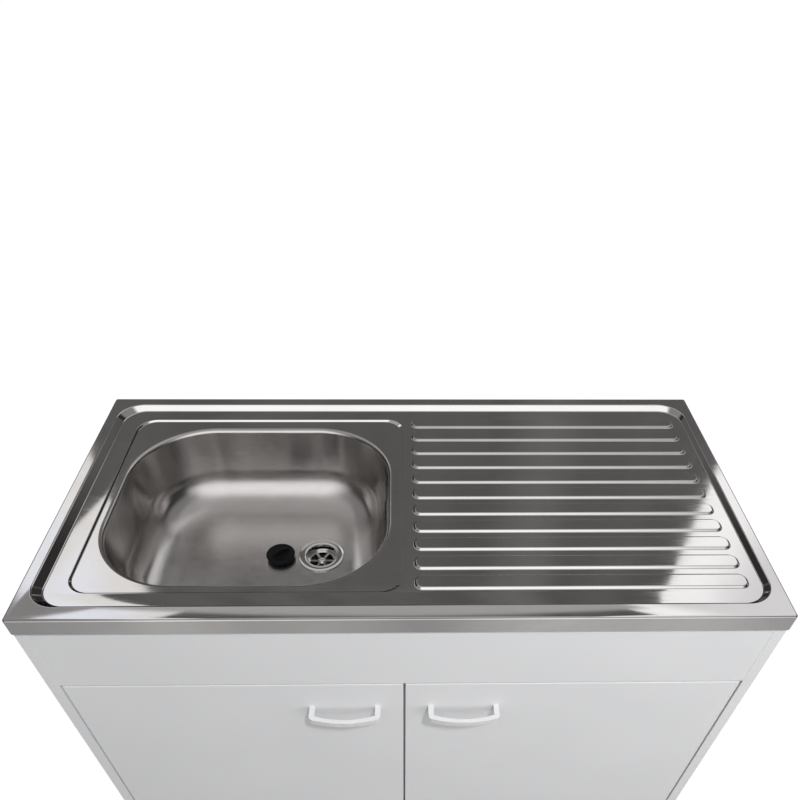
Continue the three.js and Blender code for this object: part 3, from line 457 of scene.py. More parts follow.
def brushed_steel(name, light, dark, roughness, grain, grain_depth, wave_depth, across=None, painted_bands=0):
    """Stainless steel with a fine grain along one axis, slow sheet waves and faint smears.

    across is the direction over the grain, in which the mirrored surroundings are smeared. With painted bands
    set, the sheet's colour is darkened in slow bands along X, a painted reflection of darker surroundings.
    """
    shader = Shader(name)
    if across:
        shader.set(Tangent=shader.add("CombineXYZ", *across).outputs[0], Anisotropic=STEEL_ANISOTROPY)
    fine = shader.noise(STEEL_GRAIN, grain, detail=2, roughness=0.6)
    smear = shader.noise(STEEL_SMEARS, (1, 1.4, 1), detail=4, roughness=0.62, distortion=0.6)
    wave = shader.noise(STEEL_WAVES, (1, 1.6, 1), detail=1)
    tone = shader.mix(shader.spread(smear, 0, 1), dark, light)
    tone = shader.mix(shader.spread(fine, 0, STEEL_GRAIN_TONE), tone, dark)
    # Painted reflection: slow darker bands in the colour along X, standing in for the darker surroundings the
    # lip mirrors
    if painted_bands:
        x = shader.add("SeparateXYZ", shader.place).outputs[0]
        band_sum = shader.math("MULTIPLY", x, LIP_REFLECTION_SLOPE)
        for pace, start, share in LIP_REFLECTION_BANDS:
            sine = shader.math("SINE", shader.math("MULTIPLY_ADD", x, pace, start))
            band_sum = shader.math("MULTIPLY_ADD", sine, share, band_sum)
        tone = shader.mix(shader.spread(band_sum, 0, painted_bands, LIP_REFLECTION_SPAN), tone, LIP_REFLECTION_TONE)
    rough = shader.math("ADD", shader.spread(smear, *roughness), shader.spread(fine, *STEEL_GRAIN_ROUGH))
    normal = shader.bump(wave, wave_depth)
    normal = shader.bump(fine, grain_depth, after=normal)
    shader.set(Base_Color=tone, Metallic=1.0, Roughness=rough, Normal=normal)
    return shader.material


def white_board(name, light, dark, roughness):
    """White melamine: a fine pearl texture under a soft gloss, with very faint cloudiness."""
    shader = Shader(name)
    pearl = shader.noise(BOARD_PEARL, detail=2)
    tone = shader.mix(shader.spread(shader.noise(BOARD_CLOUDS), 0, 1), dark, light)
    rough = shader.spread(shader.noise(BOARD_SMEARS), *roughness)
    shader.set(Base_Color=tone, Roughness=rough, Normal=shader.bump(pearl, BOARD_PEARL_DEPTH))
    shader.set(Specular_IOR_Level=BOARD_SPECULAR)
    return shader.material


def moulded(name, light, dark, roughness, texture, depth, subsurface=0.0, specular=0.5, bore_shade=False):
    """Moulded plastic or rubber: a fine spark-eroded texture with slight unevenness.

    With the flag set, shade is painted on the inside of the drain's bore, where the deep hole lies in shade.
    The outside keeps its colour.
    """
    shader = Shader(name)
    grain = shader.noise(texture, roughness=0.6)
    cloud = shader.noise(PLASTIC_CLOUDS)
    tone = shader.mix(shader.spread(cloud, 0, 1), dark, light)
    # Painted shade: inside the drain's bore, faces turned to the axis and all within the core radius are
    # darkened, as the deep hole lies in shade
    if bore_shade:
        to_axis = (-DRAIN_X, -DRAIN_Y, 0)
        arm = shader.add("VectorMath", shader.place, (1, 1, 0), to_axis, operation="MULTIPLY_ADD").outputs[0]
        radius = shader.add("VectorMath", arm, operation="LENGTH").outputs["Value"]
        normal = shader.add("TexCoord").outputs["Normal"]
        outward = shader.add("VectorMath", arm, normal, operation="DOT_PRODUCT").outputs["Value"]
        facing = shader.math("MULTIPLY_ADD", radius, -0.5, outward)
        inner = shader.spread(facing, 1, 0, (-BORE_SHADE_FADE, BORE_SHADE_FADE))
        core = shader.spread(radius, 1, 0, (BORE_SHADE_CORE - BORE_SHADE_FADE, BORE_SHADE_CORE))
        bore = shader.spread(radius, BORE_SHADE_SHARE, 0, BORE_SHADE_SPAN)
        painted_shade = shader.math("MULTIPLY", bore, shader.math("MAXIMUM", inner, core))
        tone = shader.mix(painted_shade, tone, BORE_SHADE_TONE)
    rough = shader.spread(cloud, *roughness)
    shader.set(Base_Color=tone, Roughness=rough, Normal=shader.bump(grain, depth))
    shader.set(Subsurface_Weight=subsurface, Specular_IOR_Level=specular)
    return shader.material


def plated(name, light, dark, roughness):
    """Zinc plating: small frosted crystals that vary in tone."""
    shader = Shader(name)
    cells = shader.fill(shader.add("TexVoronoi", shader.place), Scale=PLATING_CRYSTALS)
    crystal = cells.outputs["Distance"]
    cloud = shader.noise(PLATING_CLOUDS, detail=4, roughness=0.6)
    tone = shader.mix(shader.spread(cloud, 0, 1), dark, light)
    shader.set(Base_Color=tone, Metallic=1.0, Roughness=shader.spread(crystal, *roughness, PLATING_SPAN))
    shader.set(Normal=shader.bump(crystal, PLATING_DEPTH))
    return shader.material


TRAP_LOOK = ((0.83, 0.83, 0.815), (0.78, 0.78, 0.765), (0.35, 0.45), 500, 0.00005, 0.03)
MATERIALS = {
    "deck": brushed_steel(
        "deck_steel", (0.66, 0.645, 0.635), (0.6, 0.585, 0.575), (0.04, 0.08), (0.03, 1, 1),
        0.000002, 0.00018, across=(0, 1, 0),
    ),
    "bowl": brushed_steel(
        "bowl_steel", (0.55, 0.532, 0.522), (0.495, 0.48, 0.47), (0.18, 0.24), (0.05, 0.05, 0.6),
        0.000001, 0.00003, across=(0, 0.7, 0.7),
    ),
    # The lip's colour carries painted reflection bands
    "lip": brushed_steel(
        "lip_steel", (0.64, 0.63, 0.615), (0.54, 0.53, 0.52), (0.16, 0.24), (0.02, 0.02, 1),
        0.000003, 0.00006, painted_bands=0.45,
    ),
    "bright": brushed_steel(
        "bright_steel", (0.64, 0.635, 0.62), (0.58, 0.575, 0.56), (0.07, 0.12), (1, 1, 1),
        0.000002, 0.00001,
    ),
    "zinc": plated("zinc_plate", (0.66, 0.67, 0.68), (0.52, 0.53, 0.54), (0.28, 0.42)),
    "board": white_board("white_melamine", (0.84, 0.843, 0.853), (0.815, 0.818, 0.828), (0.3, 0.38)),
    "handle": moulded(
        "white_handle", (0.77, 0.77, 0.775), (0.74, 0.74, 0.745), (0.22, 0.3), 700, 0.00003, 0.02
    ),
    "trap": moulded("white_trap", *TRAP_LOOK),
    # The waste body's bore carries painted shade
    "waste": moulded("white_waste", *TRAP_LOOK, bore_shade=True),
    "rubber": moulded(
        "black_rubber", (0.007, 0.0075, 0.0085), (0.004, 0.004, 0.005), (0.42, 0.55), 900, 0.00005,
        specular=0.12,
    ),
    "pad": moulded("grey_pad", (0.1, 0.1, 0.105), (0.07, 0.07, 0.072), (0.8, 0.92), 260, 0.00025),
    "glide": moulded("grey_glide", (0.28, 0.285, 0.29), (0.24, 0.245, 0.25), (0.4, 0.5), 600, 0.00004),
}


# ---------------- Mesh helpers ----------------
def mesh_object(name, points, faces, materials, face_materials=None, normals=None):
    mesh = bpy.data.meshes.new(name)
    mesh.from_pydata(points, [], faces)
    for key in materials:
        mesh.materials.append(MATERIALS[key])
    if face_materials:
        mesh.polygons.foreach_set("material_index", face_materials)
    mesh.update()
    mesh.shade_smooth()
    if normals:
        mesh.normals_split_custom_set_from_vertices(normals)
    piece = bpy.data.objects.new(name, mesh)
    bpy.context.scene.collection.objects.link(piece)
    return piece


def recalculated(piece):
    """Turns all faces outward."""
    work = bmesh.new()
    work.from_mesh(piece.data)
    bmesh.ops.recalc_face_normals(work, faces=work.faces)
    work.to_mesh(piece.data)
    work.free()
    return piece


def softened(piece, width, angle=35, segments=2):
    """Rounds the sharp edges and shades the rest smooth."""
    piece.data.shade_smooth()
    piece.data.set_sharp_from_angle(angle=math.radians(angle))
    bevel = piece.modifiers.new("soft_edges", "BEVEL")
    bevel.width = width
    bevel.segments = segments
    bevel.limit_method = "ANGLE"
    bevel.angle_limit = math.radians(angle)
    bevel.harden_normals = True


def settled(piece, body, replaced):
    """Puts a finished piece on its body and in place of its CAD nodes."""
    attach(piece, body)
    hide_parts(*replaced)


def turned(name, outline, place, axis, materials, steps=TURN_STEPS, flutes=None):
    """A closed outline of (radius, height) points turned about axis z or y. Points on the axis are shared.

    flutes is (count, depth, smallest radius): grooves along the axis in what lies outside that radius.
    """
    points, rows = [], []
    for radius, height in outline:
        if radius < TINY:
            rows.append([len(points)] * steps)
            points.append((0, 0, height))
            continue
        row = []
        for step in range(steps):
            angle = 2 * math.pi * step / steps
            reach = radius
            if flutes and radius > flutes[2]:
                reach -= flutes[1] * max(0, math.cos(flutes[0] * angle)) ** 3
            row.append(len(points))
            points.append((reach * math.cos(angle), reach * math.sin(angle), height))
        rows.append(row)
    faces = []
    for first, second in zip(rows, rows[1:] + rows[:1]):
        for step in range(steps):
            after = (step + 1) % steps
            corners = [first[step], first[after], second[after], second[step]]
            corners = list(dict.fromkeys(corners))
            if len(corners) > 2:
                faces.append(corners)
    piece = mesh_object(name, points, faces, materials)
    turn = Matrix.Rotation(-math.pi / 2, 4, "X") if axis == "y" else Matrix.Identity(4)
    piece.data.transform(Matrix.Translation(place) @ turn)
    return recalculated(piece)


def extruded(name, outline, low, high, materials, holes=()):
    """A plate of even thickness from an outline of (x, y) points and holes in it."""
    loops = [outline, *holes]
    flat = [point for loop in loops for point in loop]
    triangles = tessellate_polygon([[Vector((x, y, 0)) for x, y in loop] for loop in loops])
    count = len(flat)
    points = [(x, y, high) for x, y in flat] + [(x, y, low) for x, y in flat]
    faces = [tuple(t) for t in triangles] + [tuple(i + count for i in reversed(t)) for t in triangles]
    start = 0
    for loop in loops:
        for i in range(len(loop)):
            a = start + i
            b = start + (i + 1) % len(loop)
            faces.append((a, b, b + count, a + count))
        start += len(loop)
    return recalculated(mesh_object(name, points, faces, materials))


def joined(name, pieces):
    """Joins pieces into the first one, under a new name."""
    target = pieces[0]
    with bpy.context.temp_override(active_object=target, selected_editable_objects=pieces):
        bpy.ops.object.join()
    target.name = name
    target.data.name = name
    return target


def cut_away(piece, cutter):
    """Subtracts the cutter from a piece and deletes it."""
    tool = piece.modifiers.new("cut", "BOOLEAN")
    tool.operation = "DIFFERENCE"
    tool.solver = "EXACT"
    tool.object = cutter
    graph = bpy.context.evaluated_depsgraph_get()
    result = bpy.data.meshes.new_from_object(piece.evaluated_get(graph))
    piece.modifiers.remove(tool)
    old = piece.data
    piece.data = result
    bpy.data.meshes.remove(old)
    bpy.data.objects.remove(cutter)


def arc(centre_x, centre_y, radius, start, end, steps=ARC_STEPS):
    """Points of an arc between two angles in degrees."""
    angles = [math.radians(start + (end - start) * i / steps) for i in range(steps + 1)]
    return [(centre_x + radius * math.cos(a), centre_y + radius * math.sin(a)) for a in angles]


def box_points(x0, x1, y0, y1):
    return [(x0, y0), (x1, y0), (x1, y1), (x0, y1)]


# ---------------- Pressed sink top ----------------
def step_path(run, rise, outer_round, inner_round, steps, slope=None):
    """A pressed step as (inset, rise, lean) points, from outside to inside, rounded at both ends.

    lean is how far the surface's normal tips outward. slope fixes the steepest angle; the run is then worked
    out from it. Otherwise the slope is found that fits the run.
    """
    height = abs(rise)
    both = outer_round + inner_round

    def run_at(angle):
        straight = (height - both * (1 - math.cos(angle))) / math.sin(angle)
        return both * math.sin(angle) + straight * math.cos(angle)

    if slope is None:
        low, high = 0.01, math.acos(max(1 - height / both, 0))
        for _ in range(HALVINGS):
            slope = (low + high) / 2
            if run_at(slope) > run:
                low = slope
            else:
                high = slope
    run = run_at(slope)
    sign = 1 if rise > 0 else -1
    path = []
    for step in range(steps + 1):
        angle = slope * step / steps
        path.append((outer_round * math.sin(angle), sign * outer_round * (1 - math.cos(angle)), sign * angle))
    for step in range(steps + 1):
        angle = slope * (1 - step / steps)
        inset = run - inner_round * math.sin(angle)
        path.append((inset, rise - sign * inner_round * (1 - math.cos(angle)), sign * angle))
    return path


class PressedSheet:
    """A pressed sheet drawn by its upper skin, with exact normals, then given its thickness."""

    def __init__(self):
        self.points = []
        self.normals = []
        self.faces = []
        self.face_materials = []

    def ring(self, area, corner, z, lean, steps=CORNER_STEPS, drop=0, hold=None, soft_right=0):
        """A ring round a rectangle with round corners, as vertex numbers, counterclockwise from above.

        drop lowers the front edge. hold is (least lean, side as x and y) for one side. soft_right takes that
        share of the lean away at the right.
        """
        radius = max(corner, LEAST_CORNER)
        x0, x1 = area["x0"] + radius, area["x1"] - radius
        y0, y1 = area["y0"] + radius, area["y1"] - radius
        ring = []
        for x, y, start in ((x1, y0, -90), (x1, y1, 0), (x0, y1, 90), (x0, y0, 180)):
            for step in range(steps + 1):
                angle = math.radians(start + 90 * step / steps)
                out_x, out_y = math.cos(angle), math.sin(angle)
                tilt = lean * (1 - soft_right * max(0, out_x))
                if hold:
                    least, (side_x, side_y) = hold
                    held = least * max(0, out_x * side_x + out_y * side_y)
                    if held:
                        tilt = max(tilt, held) if held > 0 else min(tilt, held)
                tip = math.sin(tilt)
                low = z - drop * max(0, -out_y)
                ring.append(len(self.points))
                self.points.append(Vector((x + radius * out_x, y + radius * out_y, low)))
                self.normals.append(Vector((tip * out_x, tip * out_y, math.cos(tilt))))
        return ring

    def strips(self, rings, material):
        for outer, inner in zip(rings, rings[1:]):
            for i in range(len(outer)):
                j = (i + 1) % len(outer)
                self.faces.append((outer[i], outer[j], inner[j], inner[i]))
                self.face_materials.append(material)

    def rings(self, area, corner, z, path, material, start=None, inner=None, **ring_settings):
        """Rings along a path, joined by strips. Returns the outermost and innermost ring.

        start is a ring that stands for the outermost one. inner is the innermost rectangle, where the run
        isn't the same on all sides.
        """
        made = [start] if start else []
        run = path[-1][0]
        for inset, rise, lean in path[len(made):]:
            if inner:
                share = inset / run
                now = {side: area[side] + share * (inner[side] - area[side]) for side in area}
            else:
                now = grown(area, -inset)
            made.append(self.ring(now, corner - inset, z + rise, lean, **ring_settings))
        self.strips(made, material)
        return made[0], made[-1]

    def flat(self, outer, holes, material):
        """Fills the flat sheet between an outer ring and the rings of holes in it."""
        loops = [outer, *holes]
        numbers = [i for loop in loops for i in loop]
        for corners in tessellate_polygon([[self.points[i] for i in loop] for loop in loops]):
            a, b, c = (numbers[i] for i in corners)
            first, second = self.points[b] - self.points[a], self.points[c] - self.points[a]
            if first.cross(second).z < 0:
                b, c = c, b
            self.faces.append((a, b, c))
            self.face_materials.append(material)

    def thickened(self, name, thickness, materials, underside):
        """The sheet as a closed piece: the skin, its offset underside and the raw edges between them."""
        count = len(self.points)
        used = dict.fromkeys(edge for face in self.faces for edge in zip(face, face[1:] + face[:1]))
        points = self.points + [p - n * thickness for p, n in zip(self.points, self.normals)]
        normals = self.normals + [-n for n in self.normals]
        faces = self.faces + [tuple(i + count for i in reversed(face)) for face in self.faces]
        tags = self.face_materials + [underside] * len(self.faces)
        for a, b in used:
            if (b, a) not in used:
                faces.append((b, a, a + count, b + count))
                tags.append(underside)
        return mesh_object(name, points, faces, materials, tags, normals)


def lip_path():
    """From the folded edge under the lip, round its foot, up its face and over onto the deck."""
    path = [(LIP_RETURN, 0, math.pi)]
    for step in range(ROLL_STEPS + 1):
        lean = math.pi - (math.pi / 2) * step / ROLL_STEPS
        path.append((LIP_RETURN_ROLL * (1 - math.sin(lean)), LIP_RETURN_ROLL * (1 + math.cos(lean)), lean))
    top = DECK_Z - LIP_Z
    for step in range(ROLL_STEPS + 1):
        lean = math.pi / 2 * (1 - step / ROLL_STEPS)
        path.append((LIP_ROLL * (1 - math.sin(lean)), top - LIP_ROLL * (1 - math.cos(lean)), lean))
    return path


def rib_rects():
    span = (SINK_HIGH.y - RIB_REAR) - (SINK_LOW.y + RIB_FRONT)
    count = int((span - RIB_WIDTH) / RIB_PITCH + TINY) + 1
    x0 = ZONE_RECT["x1"] + RIB_FROM_ZONE
    x1 = FIELD_RECT["x1"] - RIB_AREA_RUN - RIB_FROM_FIELD
    for rib in range(count):
        y0 = SINK_LOW.y + RIB_FRONT + rib * RIB_PITCH
        yield rect(x0, x1, y0, y0 + RIB_WIDTH)


def add_sink_top():
    deck, bowl, lip, under = range(4)
    sheet = PressedSheet()
    lip_rings = []
    front = (0, -1)
    for inset, rise, lean in lip_path():
        lip_rings.append(sheet.ring(
            grown(LIP_RECT, -inset), LIP_CORNER - inset, LIP_Z + rise, lean,
            drop=RIM_DROP * rise / (DECK_Z - LIP_Z), hold=(RIM_LEAN, front),
        ))
    sheet.strips(lip_rings, lip)
    rim_inner = sheet.ring(FIELD_RECT, FIELD_CORNER, DECK_Z, 0, hold=(RIM_INNER_LEAN, front))
    sheet.flat(lip_rings[-1], [rim_inner], deck)
    field_floor = rect(
        FIELD_RECT["x0"] + FIELD_RUN_LEFT, FIELD_RECT["x1"] - FIELD_RUN,
        FIELD_RECT["y0"] + FIELD_RUN, FIELD_RECT["y1"] - FIELD_RUN_REAR,
    )
    field_path = step_path(0, -FIELD_DEPTH, FIELD_ROUND, FIELD_ROUND, ROLL_STEPS, slope=FIELD_SLOPE)
    _, field_edge = sheet.rings(
        FIELD_RECT, FIELD_CORNER, DECK_Z, field_path, deck, start=rim_inner, inner=field_floor,
        hold=(-FIELD_SAG, (-1, 0)),
    )
    zone_floor = grown(ZONE_RECT, -ZONE_RUN)
    zone_floor["x1"] = ZONE_RECT["x1"] - ZONE_RUN_RIGHT
    zone_path = step_path(0, -ZONE_DEPTH, ZONE_ROUND, ZONE_ROUND, ROLL_STEPS, slope=ZONE_SLOPE)
    zone_outer, zone_edge = sheet.rings(
        ZONE_RECT, ZONE_CORNER, FIELD_Z, zone_path, deck, inner=zone_floor, soft_right=ZONE_SOFT_RIGHT
    )
    rib_path = step_path(RIB_RUN, RIB_HEIGHT, RIB_ROUND, RIB_ROUND, ROLL_STEPS)
    holes = [zone_outer]
    for area in rib_rects():
        base, top = sheet.rings(area, RIB_END, FIELD_Z, rib_path, deck, steps=RIB_CORNER_STEPS)
        holes.append(base)
        sheet.flat(top, [], deck)
    sheet.flat(field_edge, holes, deck)
    mouth = grown(BOWL_RECT, BOWL_ROLL)
    depth = BOWL_Z - ZONE_Z
    path = step_path(0, depth, BOWL_ROLL, BOWL_FILLET, BOWL_STEPS, slope=BOWL_WALL_ANGLE)
    for i in range(BOWL_STEPS + 1, len(path)):
        inset, rise, lean = path[i]
        path[i] = (inset, rise, lean - BOWL_EASE * math.sin(2 * lean))
    bowl_mouth, floor_edge = sheet.rings(
        mouth, BOWL_CORNER + BOWL_ROLL, ZONE_Z, path, bowl, steps=BOWL_CORNER_STEPS
    )
    sheet.flat(zone_edge, [bowl_mouth], deck)
    hole = rect(DRAIN_X - DRAIN_HOLE, DRAIN_X + DRAIN_HOLE, DRAIN_Y - DRAIN_HOLE, DRAIN_Y + DRAIN_HOLE)
    sheet.flat(floor_edge, [sheet.ring(hole, DRAIN_HOLE, BOWL_Z, 0)], bowl)
    piece = sheet.thickened("pressed_sink_top", SHEET, ["deck", "bowl", "lip", "bowl"], under)
    settled(piece, "cabinet", ["sink_top"])


# ---------------- Drain fittings seen in the bowl ----------------
def add_waste_flange():
    rise = FLANGE_RISE
    outer, outer_share = FLANGE_DISH_OUTER
    inner, inner_share = FLANGE_DISH_INNER
    outside = DRAIN_HOLE - FLANGE_FIT
    foot = -THROAT_DEPTH + THROAT_FOOT
    outline = [(outside, 0), (FLANGE_RADIUS, 0), (FLANGE_RADIUS, FLANGE_SIDE_SHARE * rise)]
    outline += arc(FLANGE_RADIUS - FLANGE_BEAD, rise - FLANGE_BEAD, FLANGE_BEAD, 0, 110)
    outline += [(FLANGE_RADIUS - outer, outer_share * rise), (THROAT_RADIUS + inner, inner_share * rise)]
    outline += arc(THROAT_RADIUS + THROAT_TOP, THROAT_BEAD_SHARE * rise, THROAT_BEAD, 60, 180)
    outline += [(THROAT_RADIUS, -THROAT_TOP), (THROAT_RADIUS, foot)]
    outline += arc(THROAT_RADIUS - THROAT_FOOT, foot, THROAT_FOOT, 0, -90, 4)
    outline += [(SEAT_RADIUS, -THROAT_DEPTH), (SEAT_RADIUS, -THROAT_DEPTH - SEAT_THICKNESS)]
    outline += [(outside, -THROAT_DEPTH - SEAT_THICKNESS)]
    piece = turned("drain_flange", outline, (DRAIN_X, DRAIN_Y, BOWL_Z), "z", ["bright"])
    piece.data.set_sharp_from_angle(angle=SHARP)
    settled(piece, "cabinet", ["waste_flange"])


def strainer_window(turn):
    """One opening between two spokes, with round corners."""
    half = STRAINER_SPOKE / 2
    pitch = 2 * math.pi / STRAINER_SPOKES
    middle = turn + pitch / 2
    points = []
    for radius, direction in ((STRAINER_HUB, 1), (STRAINER_OPEN, -1)):
        reach = pitch / 2 - math.asin(half / radius)
        for step in range(2 * STRAINER_WINDOW_STEPS + 1):
            angle = middle + direction * reach * (1 - step / STRAINER_WINDOW_STEPS)
            points.append((radius * math.cos(angle), radius * math.sin(angle)))
    return points


def add_strainer():
    pitch = 2 * math.pi / STRAINER_SPOKES
    windows = [strainer_window(pitch * i) for i in range(STRAINER_SPOKES)]
    hole = arc(0, 0, WASTE_SHANK + WASTE_SHANK_GAP, 360, 0, 24)[:-1]
    disc = arc(0, 0, STRAINER_RADIUS, 0, 360, TURN_STEPS)[:-1]
    piece = extruded("drain_strainer", disc, 0, STRAINER_THICKNESS, ["bright"], [*windows, hole])
    piece.data.transform(Matrix.Translation((DRAIN_X, DRAIN_Y, STRAINER_Z)))
    softened(piece, STRAINER_ROUND, segments=3)
    settled(piece, "cabinet", ["waste_strainer"])


def add_waste_screw():
    top = WASTE_HEAD_HEIGHT
    outline = [(0, -WASTE_SCREW_LENGTH), (WASTE_SHANK, -WASTE_SCREW_LENGTH), (WASTE_SHANK, 0)]
    side_top = WASTE_HEAD_SIDE_SHARE * top
    dome = WASTE_HEAD_DOME_SHARE * top
    outline += [(WASTE_HEAD_RADIUS, 0), (WASTE_HEAD_RADIUS, side_top)]
    outline += [(WASTE_HEAD_RADIUS * math.cos(a), side_top + dome * math.sin(a)) for a in WASTE_HEAD_ANGLES]
    outline += [(0, top)]
    place = Vector((DRAIN_X, DRAIN_Y, STRAINER_Z + STRAINER_THICKNESS))
    piece = turned("drain_screw", outline, place, "z", ["bright"], steps=SCREW_STEPS)
    side = WASTE_HEAD_RADIUS + CUT_MARGIN
    slot = extruded(
        "slot", box_points(-side, side, -WASTE_SLOT_WIDTH / 2, WASTE_SLOT_WIDTH / 2),
        top - WASTE_SLOT_DEPTH, top + CUT_MARGIN, ["bright"],
    )
    slot.data.transform(Matrix.Translation(place))
    cut_away(piece, slot)
    softened(piece, WASTE_HEAD_ROUND)
    settled(piece, "cabinet", ["waste_screw"])


def add_plug():
    low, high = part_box("drain_plug")
    place = Vector(((low.x + high.x) / 2, (low.y + high.y) / 2, low.z))
    outline = [(0, 0), (PLUG_BASE, 0), (PLUG_RADIUS - PLUG_WAIST, 0.5 * PLUG_BODY)]
    for (inset, under, radius), start, end in ((PLUG_RIM, 0, 60), (PLUG_SHOULDER, 45, 120)):
        outline += arc(PLUG_RADIUS - inset, PLUG_BODY - under, radius, start, end)
    inset, under = PLUG_DISH
    outline += [(PLUG_RADIUS - inset, PLUG_BODY - under), (0, PLUG_BODY - under)]
    body = turned("plug_body", outline, (0, 0, 0), "z", ["rubber"])
    half = PLUG_RADIUS - PLUG_GRIP_INSET
    drop = PLUG_HEIGHT - half
    angle = math.degrees(math.asin((PLUG_BODY - PLUG_GRIP_SINK - drop) / half))
    side = arc(0, drop, half, angle, 180 - angle, 24)
    grip = extruded("plug_grip", side, -PLUG_GRIP_WIDTH / 2, PLUG_GRIP_WIDTH / 2, ["rubber"])
    grip.data.transform(Matrix.Rotation(math.pi / 2, 4, "X"))
    piece = joined("bowl_plug", [body, grip])
    piece.data.transform(Matrix.Translation(place) @ Matrix.Rotation(PLUG_GRIP_ANGLE, 4, "Z"))
    softened(piece, PLUG_ROUND, segments=3)
    settled(piece, "plug", ["drain_plug"])


# ---------------- Trap under the bowl ----------------
def nut_outline(radius, length, thread_radius):
    """A union nut's outline with its lip at the bottom."""
    bore = PIPE_RADIUS + NUT_GAP
    outline = [(bore, 0), (radius - NUT_EDGE - NUT_FOOT, 0)]
    outline += arc(radius - NUT_EDGE, NUT_EDGE, NUT_EDGE, -90, 0, 5)
    outline += arc(radius - TRAP_EDGE, length - TRAP_EDGE, TRAP_EDGE, 0, 90, 3)
    outline += [(thread_radius, length), (thread_radius, NUT_LIP), (bore, NUT_LIP)]
    return outline


def add_trap_nut(name, node, thread_radius, level):
    """A union nut. A level one is turned about Y, with its lip at the back."""
    low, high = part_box(node)
    radius = (high.x - low.x) / 2
    length = high.y - low.y if level else high.z - low.z
    outline = nut_outline(radius, length, thread_radius + NUT_GAP)
    place = (DRAIN_X, DRAIN_Y, low.z)
    if level:
        outline = [(r, length - h) for r, h in outline]
        place = (DRAIN_X, low.y, (low.z + high.z) / 2)
    flutes = (NUT_GROOVES, NUT_GROOVE, radius - NUT_GROOVE_START)
    piece = turned(name, outline, place, "y" if level else "z", ["trap"], NUT_STEPS, flutes)
    settled(piece, "cabinet", [node])


def add_trap_pipes():
    bore = PIPE_RADIUS - PIPE_WALL
    low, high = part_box("trap_dip_tube")
    height = high.z - low.z
    collar = height - COLLAR_HEIGHT
    outline = [(bore, 0), (PIPE_RADIUS - PIPE_FOOT, 0), (PIPE_RADIUS, PIPE_FOOT), (PIPE_RADIUS, collar)]
    outline += [(COLLAR_RADIUS, collar), (COLLAR_RADIUS, height), (bore, height)]
    piece = turned("dip_tube", outline, (DRAIN_X, DRAIN_Y, low.z), "z", ["trap"])
    piece.data.set_sharp_from_angle(angle=SHARP)
    settled(piece, "cabinet", ["trap_dip_tube"])

    low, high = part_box("outlet_pipe")
    length = high.y - low.y
    outline = [(bore, 0), (PIPE_RADIUS, 0), (PIPE_RADIUS, length - PIPE_END_FLAT)]
    outline += arc(PIPE_RADIUS - TRAP_EDGE, length - TRAP_EDGE, TRAP_EDGE, 0, 90, 4)
    outline += [(bore + PIPE_END_BEVEL, length), (bore, length - PIPE_END_BEVEL)]
    place = (DRAIN_X, low.y, (low.z + high.z) / 2)
    piece = turned("waste_outlet_pipe", outline, place, "y", ["trap"])
    piece.data.set_sharp_from_angle(angle=SHARP)
    settled(piece, "cabinet", ["outlet_pipe"])


def add_trap_bottle():
    """The bottle: a fluted cup screwed to a plain body, which has the outlet stub on its back."""
    low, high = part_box("trap_bottle")
    place = (DRAIN_X, DRAIN_Y, low.z)
    inner = BOTTLE_NECK - BOTTLE_WALL
    outline = [(0, 0)] + arc(BOTTLE_RADIUS - BOTTLE_ROUND, BOTTLE_ROUND, BOTTLE_ROUND, -90, 0, 8)
    outline += arc(BOTTLE_RADIUS - CUP_EDGE, CUP_HEIGHT - CUP_EDGE, CUP_EDGE, 0, 90, 4)
    outline += [(inner, CUP_HEIGHT), (inner, BOTTLE_WALL + BOTTLE_ROUND), (inner - BOTTLE_ROUND, BOTTLE_WALL)]
    cup = turned("cup", outline + [(0, BOTTLE_WALL)], place, "z", ["trap"], CUP_STEPS, CUP_FLUTES)

    height = high.z - low.z
    seam = CUP_HEIGHT + SEAM_GAP
    bead_start, bead_middle, bead_end = (seam + level for level in SEAM_BEAD)
    bore = PIPE_RADIUS + NUT_GAP
    outline = [(inner, seam), (BOTTLE_NECK - SEAM_EDGE, seam), (BOTTLE_NECK, seam + SEAM_EDGE)]
    outline += [(BOTTLE_NECK, bead_start)]
    outline += arc(BOTTLE_NECK - SEAM_BEAD_INSET, bead_middle, SEAM_BEAD_RADIUS, -80, 80)
    outline += [(BOTTLE_NECK, bead_end), (BOTTLE_NECK, height - BOTTLE_ROUND)]
    outline += arc(BOTTLE_NECK - BOTTLE_ROUND, height - BOTTLE_ROUND, BOTTLE_ROUND, 0, 90, 8)
    outline += [(bore + SEAM_EDGE, height), (bore, height - SEAM_EDGE), (bore, height - BOTTLE_CAP)]
    outline += [(inner, height - BOTTLE_CAP)]
    body = turned("body", outline, place, "z", ["trap"])

    pipe_low, pipe_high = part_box("outlet_pipe")
    start = DRAIN_Y + inner
    length = high.y - start
    outline = [(bore, 0), (STUB_RADIUS, 0), (STUB_RADIUS, length - TRAP_EDGE)]
    outline += [(STUB_RADIUS - TRAP_EDGE, length), (bore, length)]
    stub_place = (DRAIN_X, start, (pipe_low.z + pipe_high.z) / 2)
    stub = turned("stub", outline, stub_place, "y", ["trap"])
    piece = joined("bottle_trap", [cup, body, stub])
    piece.data.set_sharp_from_angle(angle=SHARP_BOTTLE)
    settled(piece, "cabinet", ["trap_bottle"])


# ---------------- Bow handles ----------------
def quadratic(start, control, end, steps):
    """Points of a quadratic curve after its start."""
    points = []
    for step in range(1, steps + 1):
        t = step / steps
        points.append(tuple(
            (1 - t) ** 2 * a + 2 * (1 - t) * t * b + t ** 2 * c for a, b, c in zip(start, control, end)
        ))
    return points


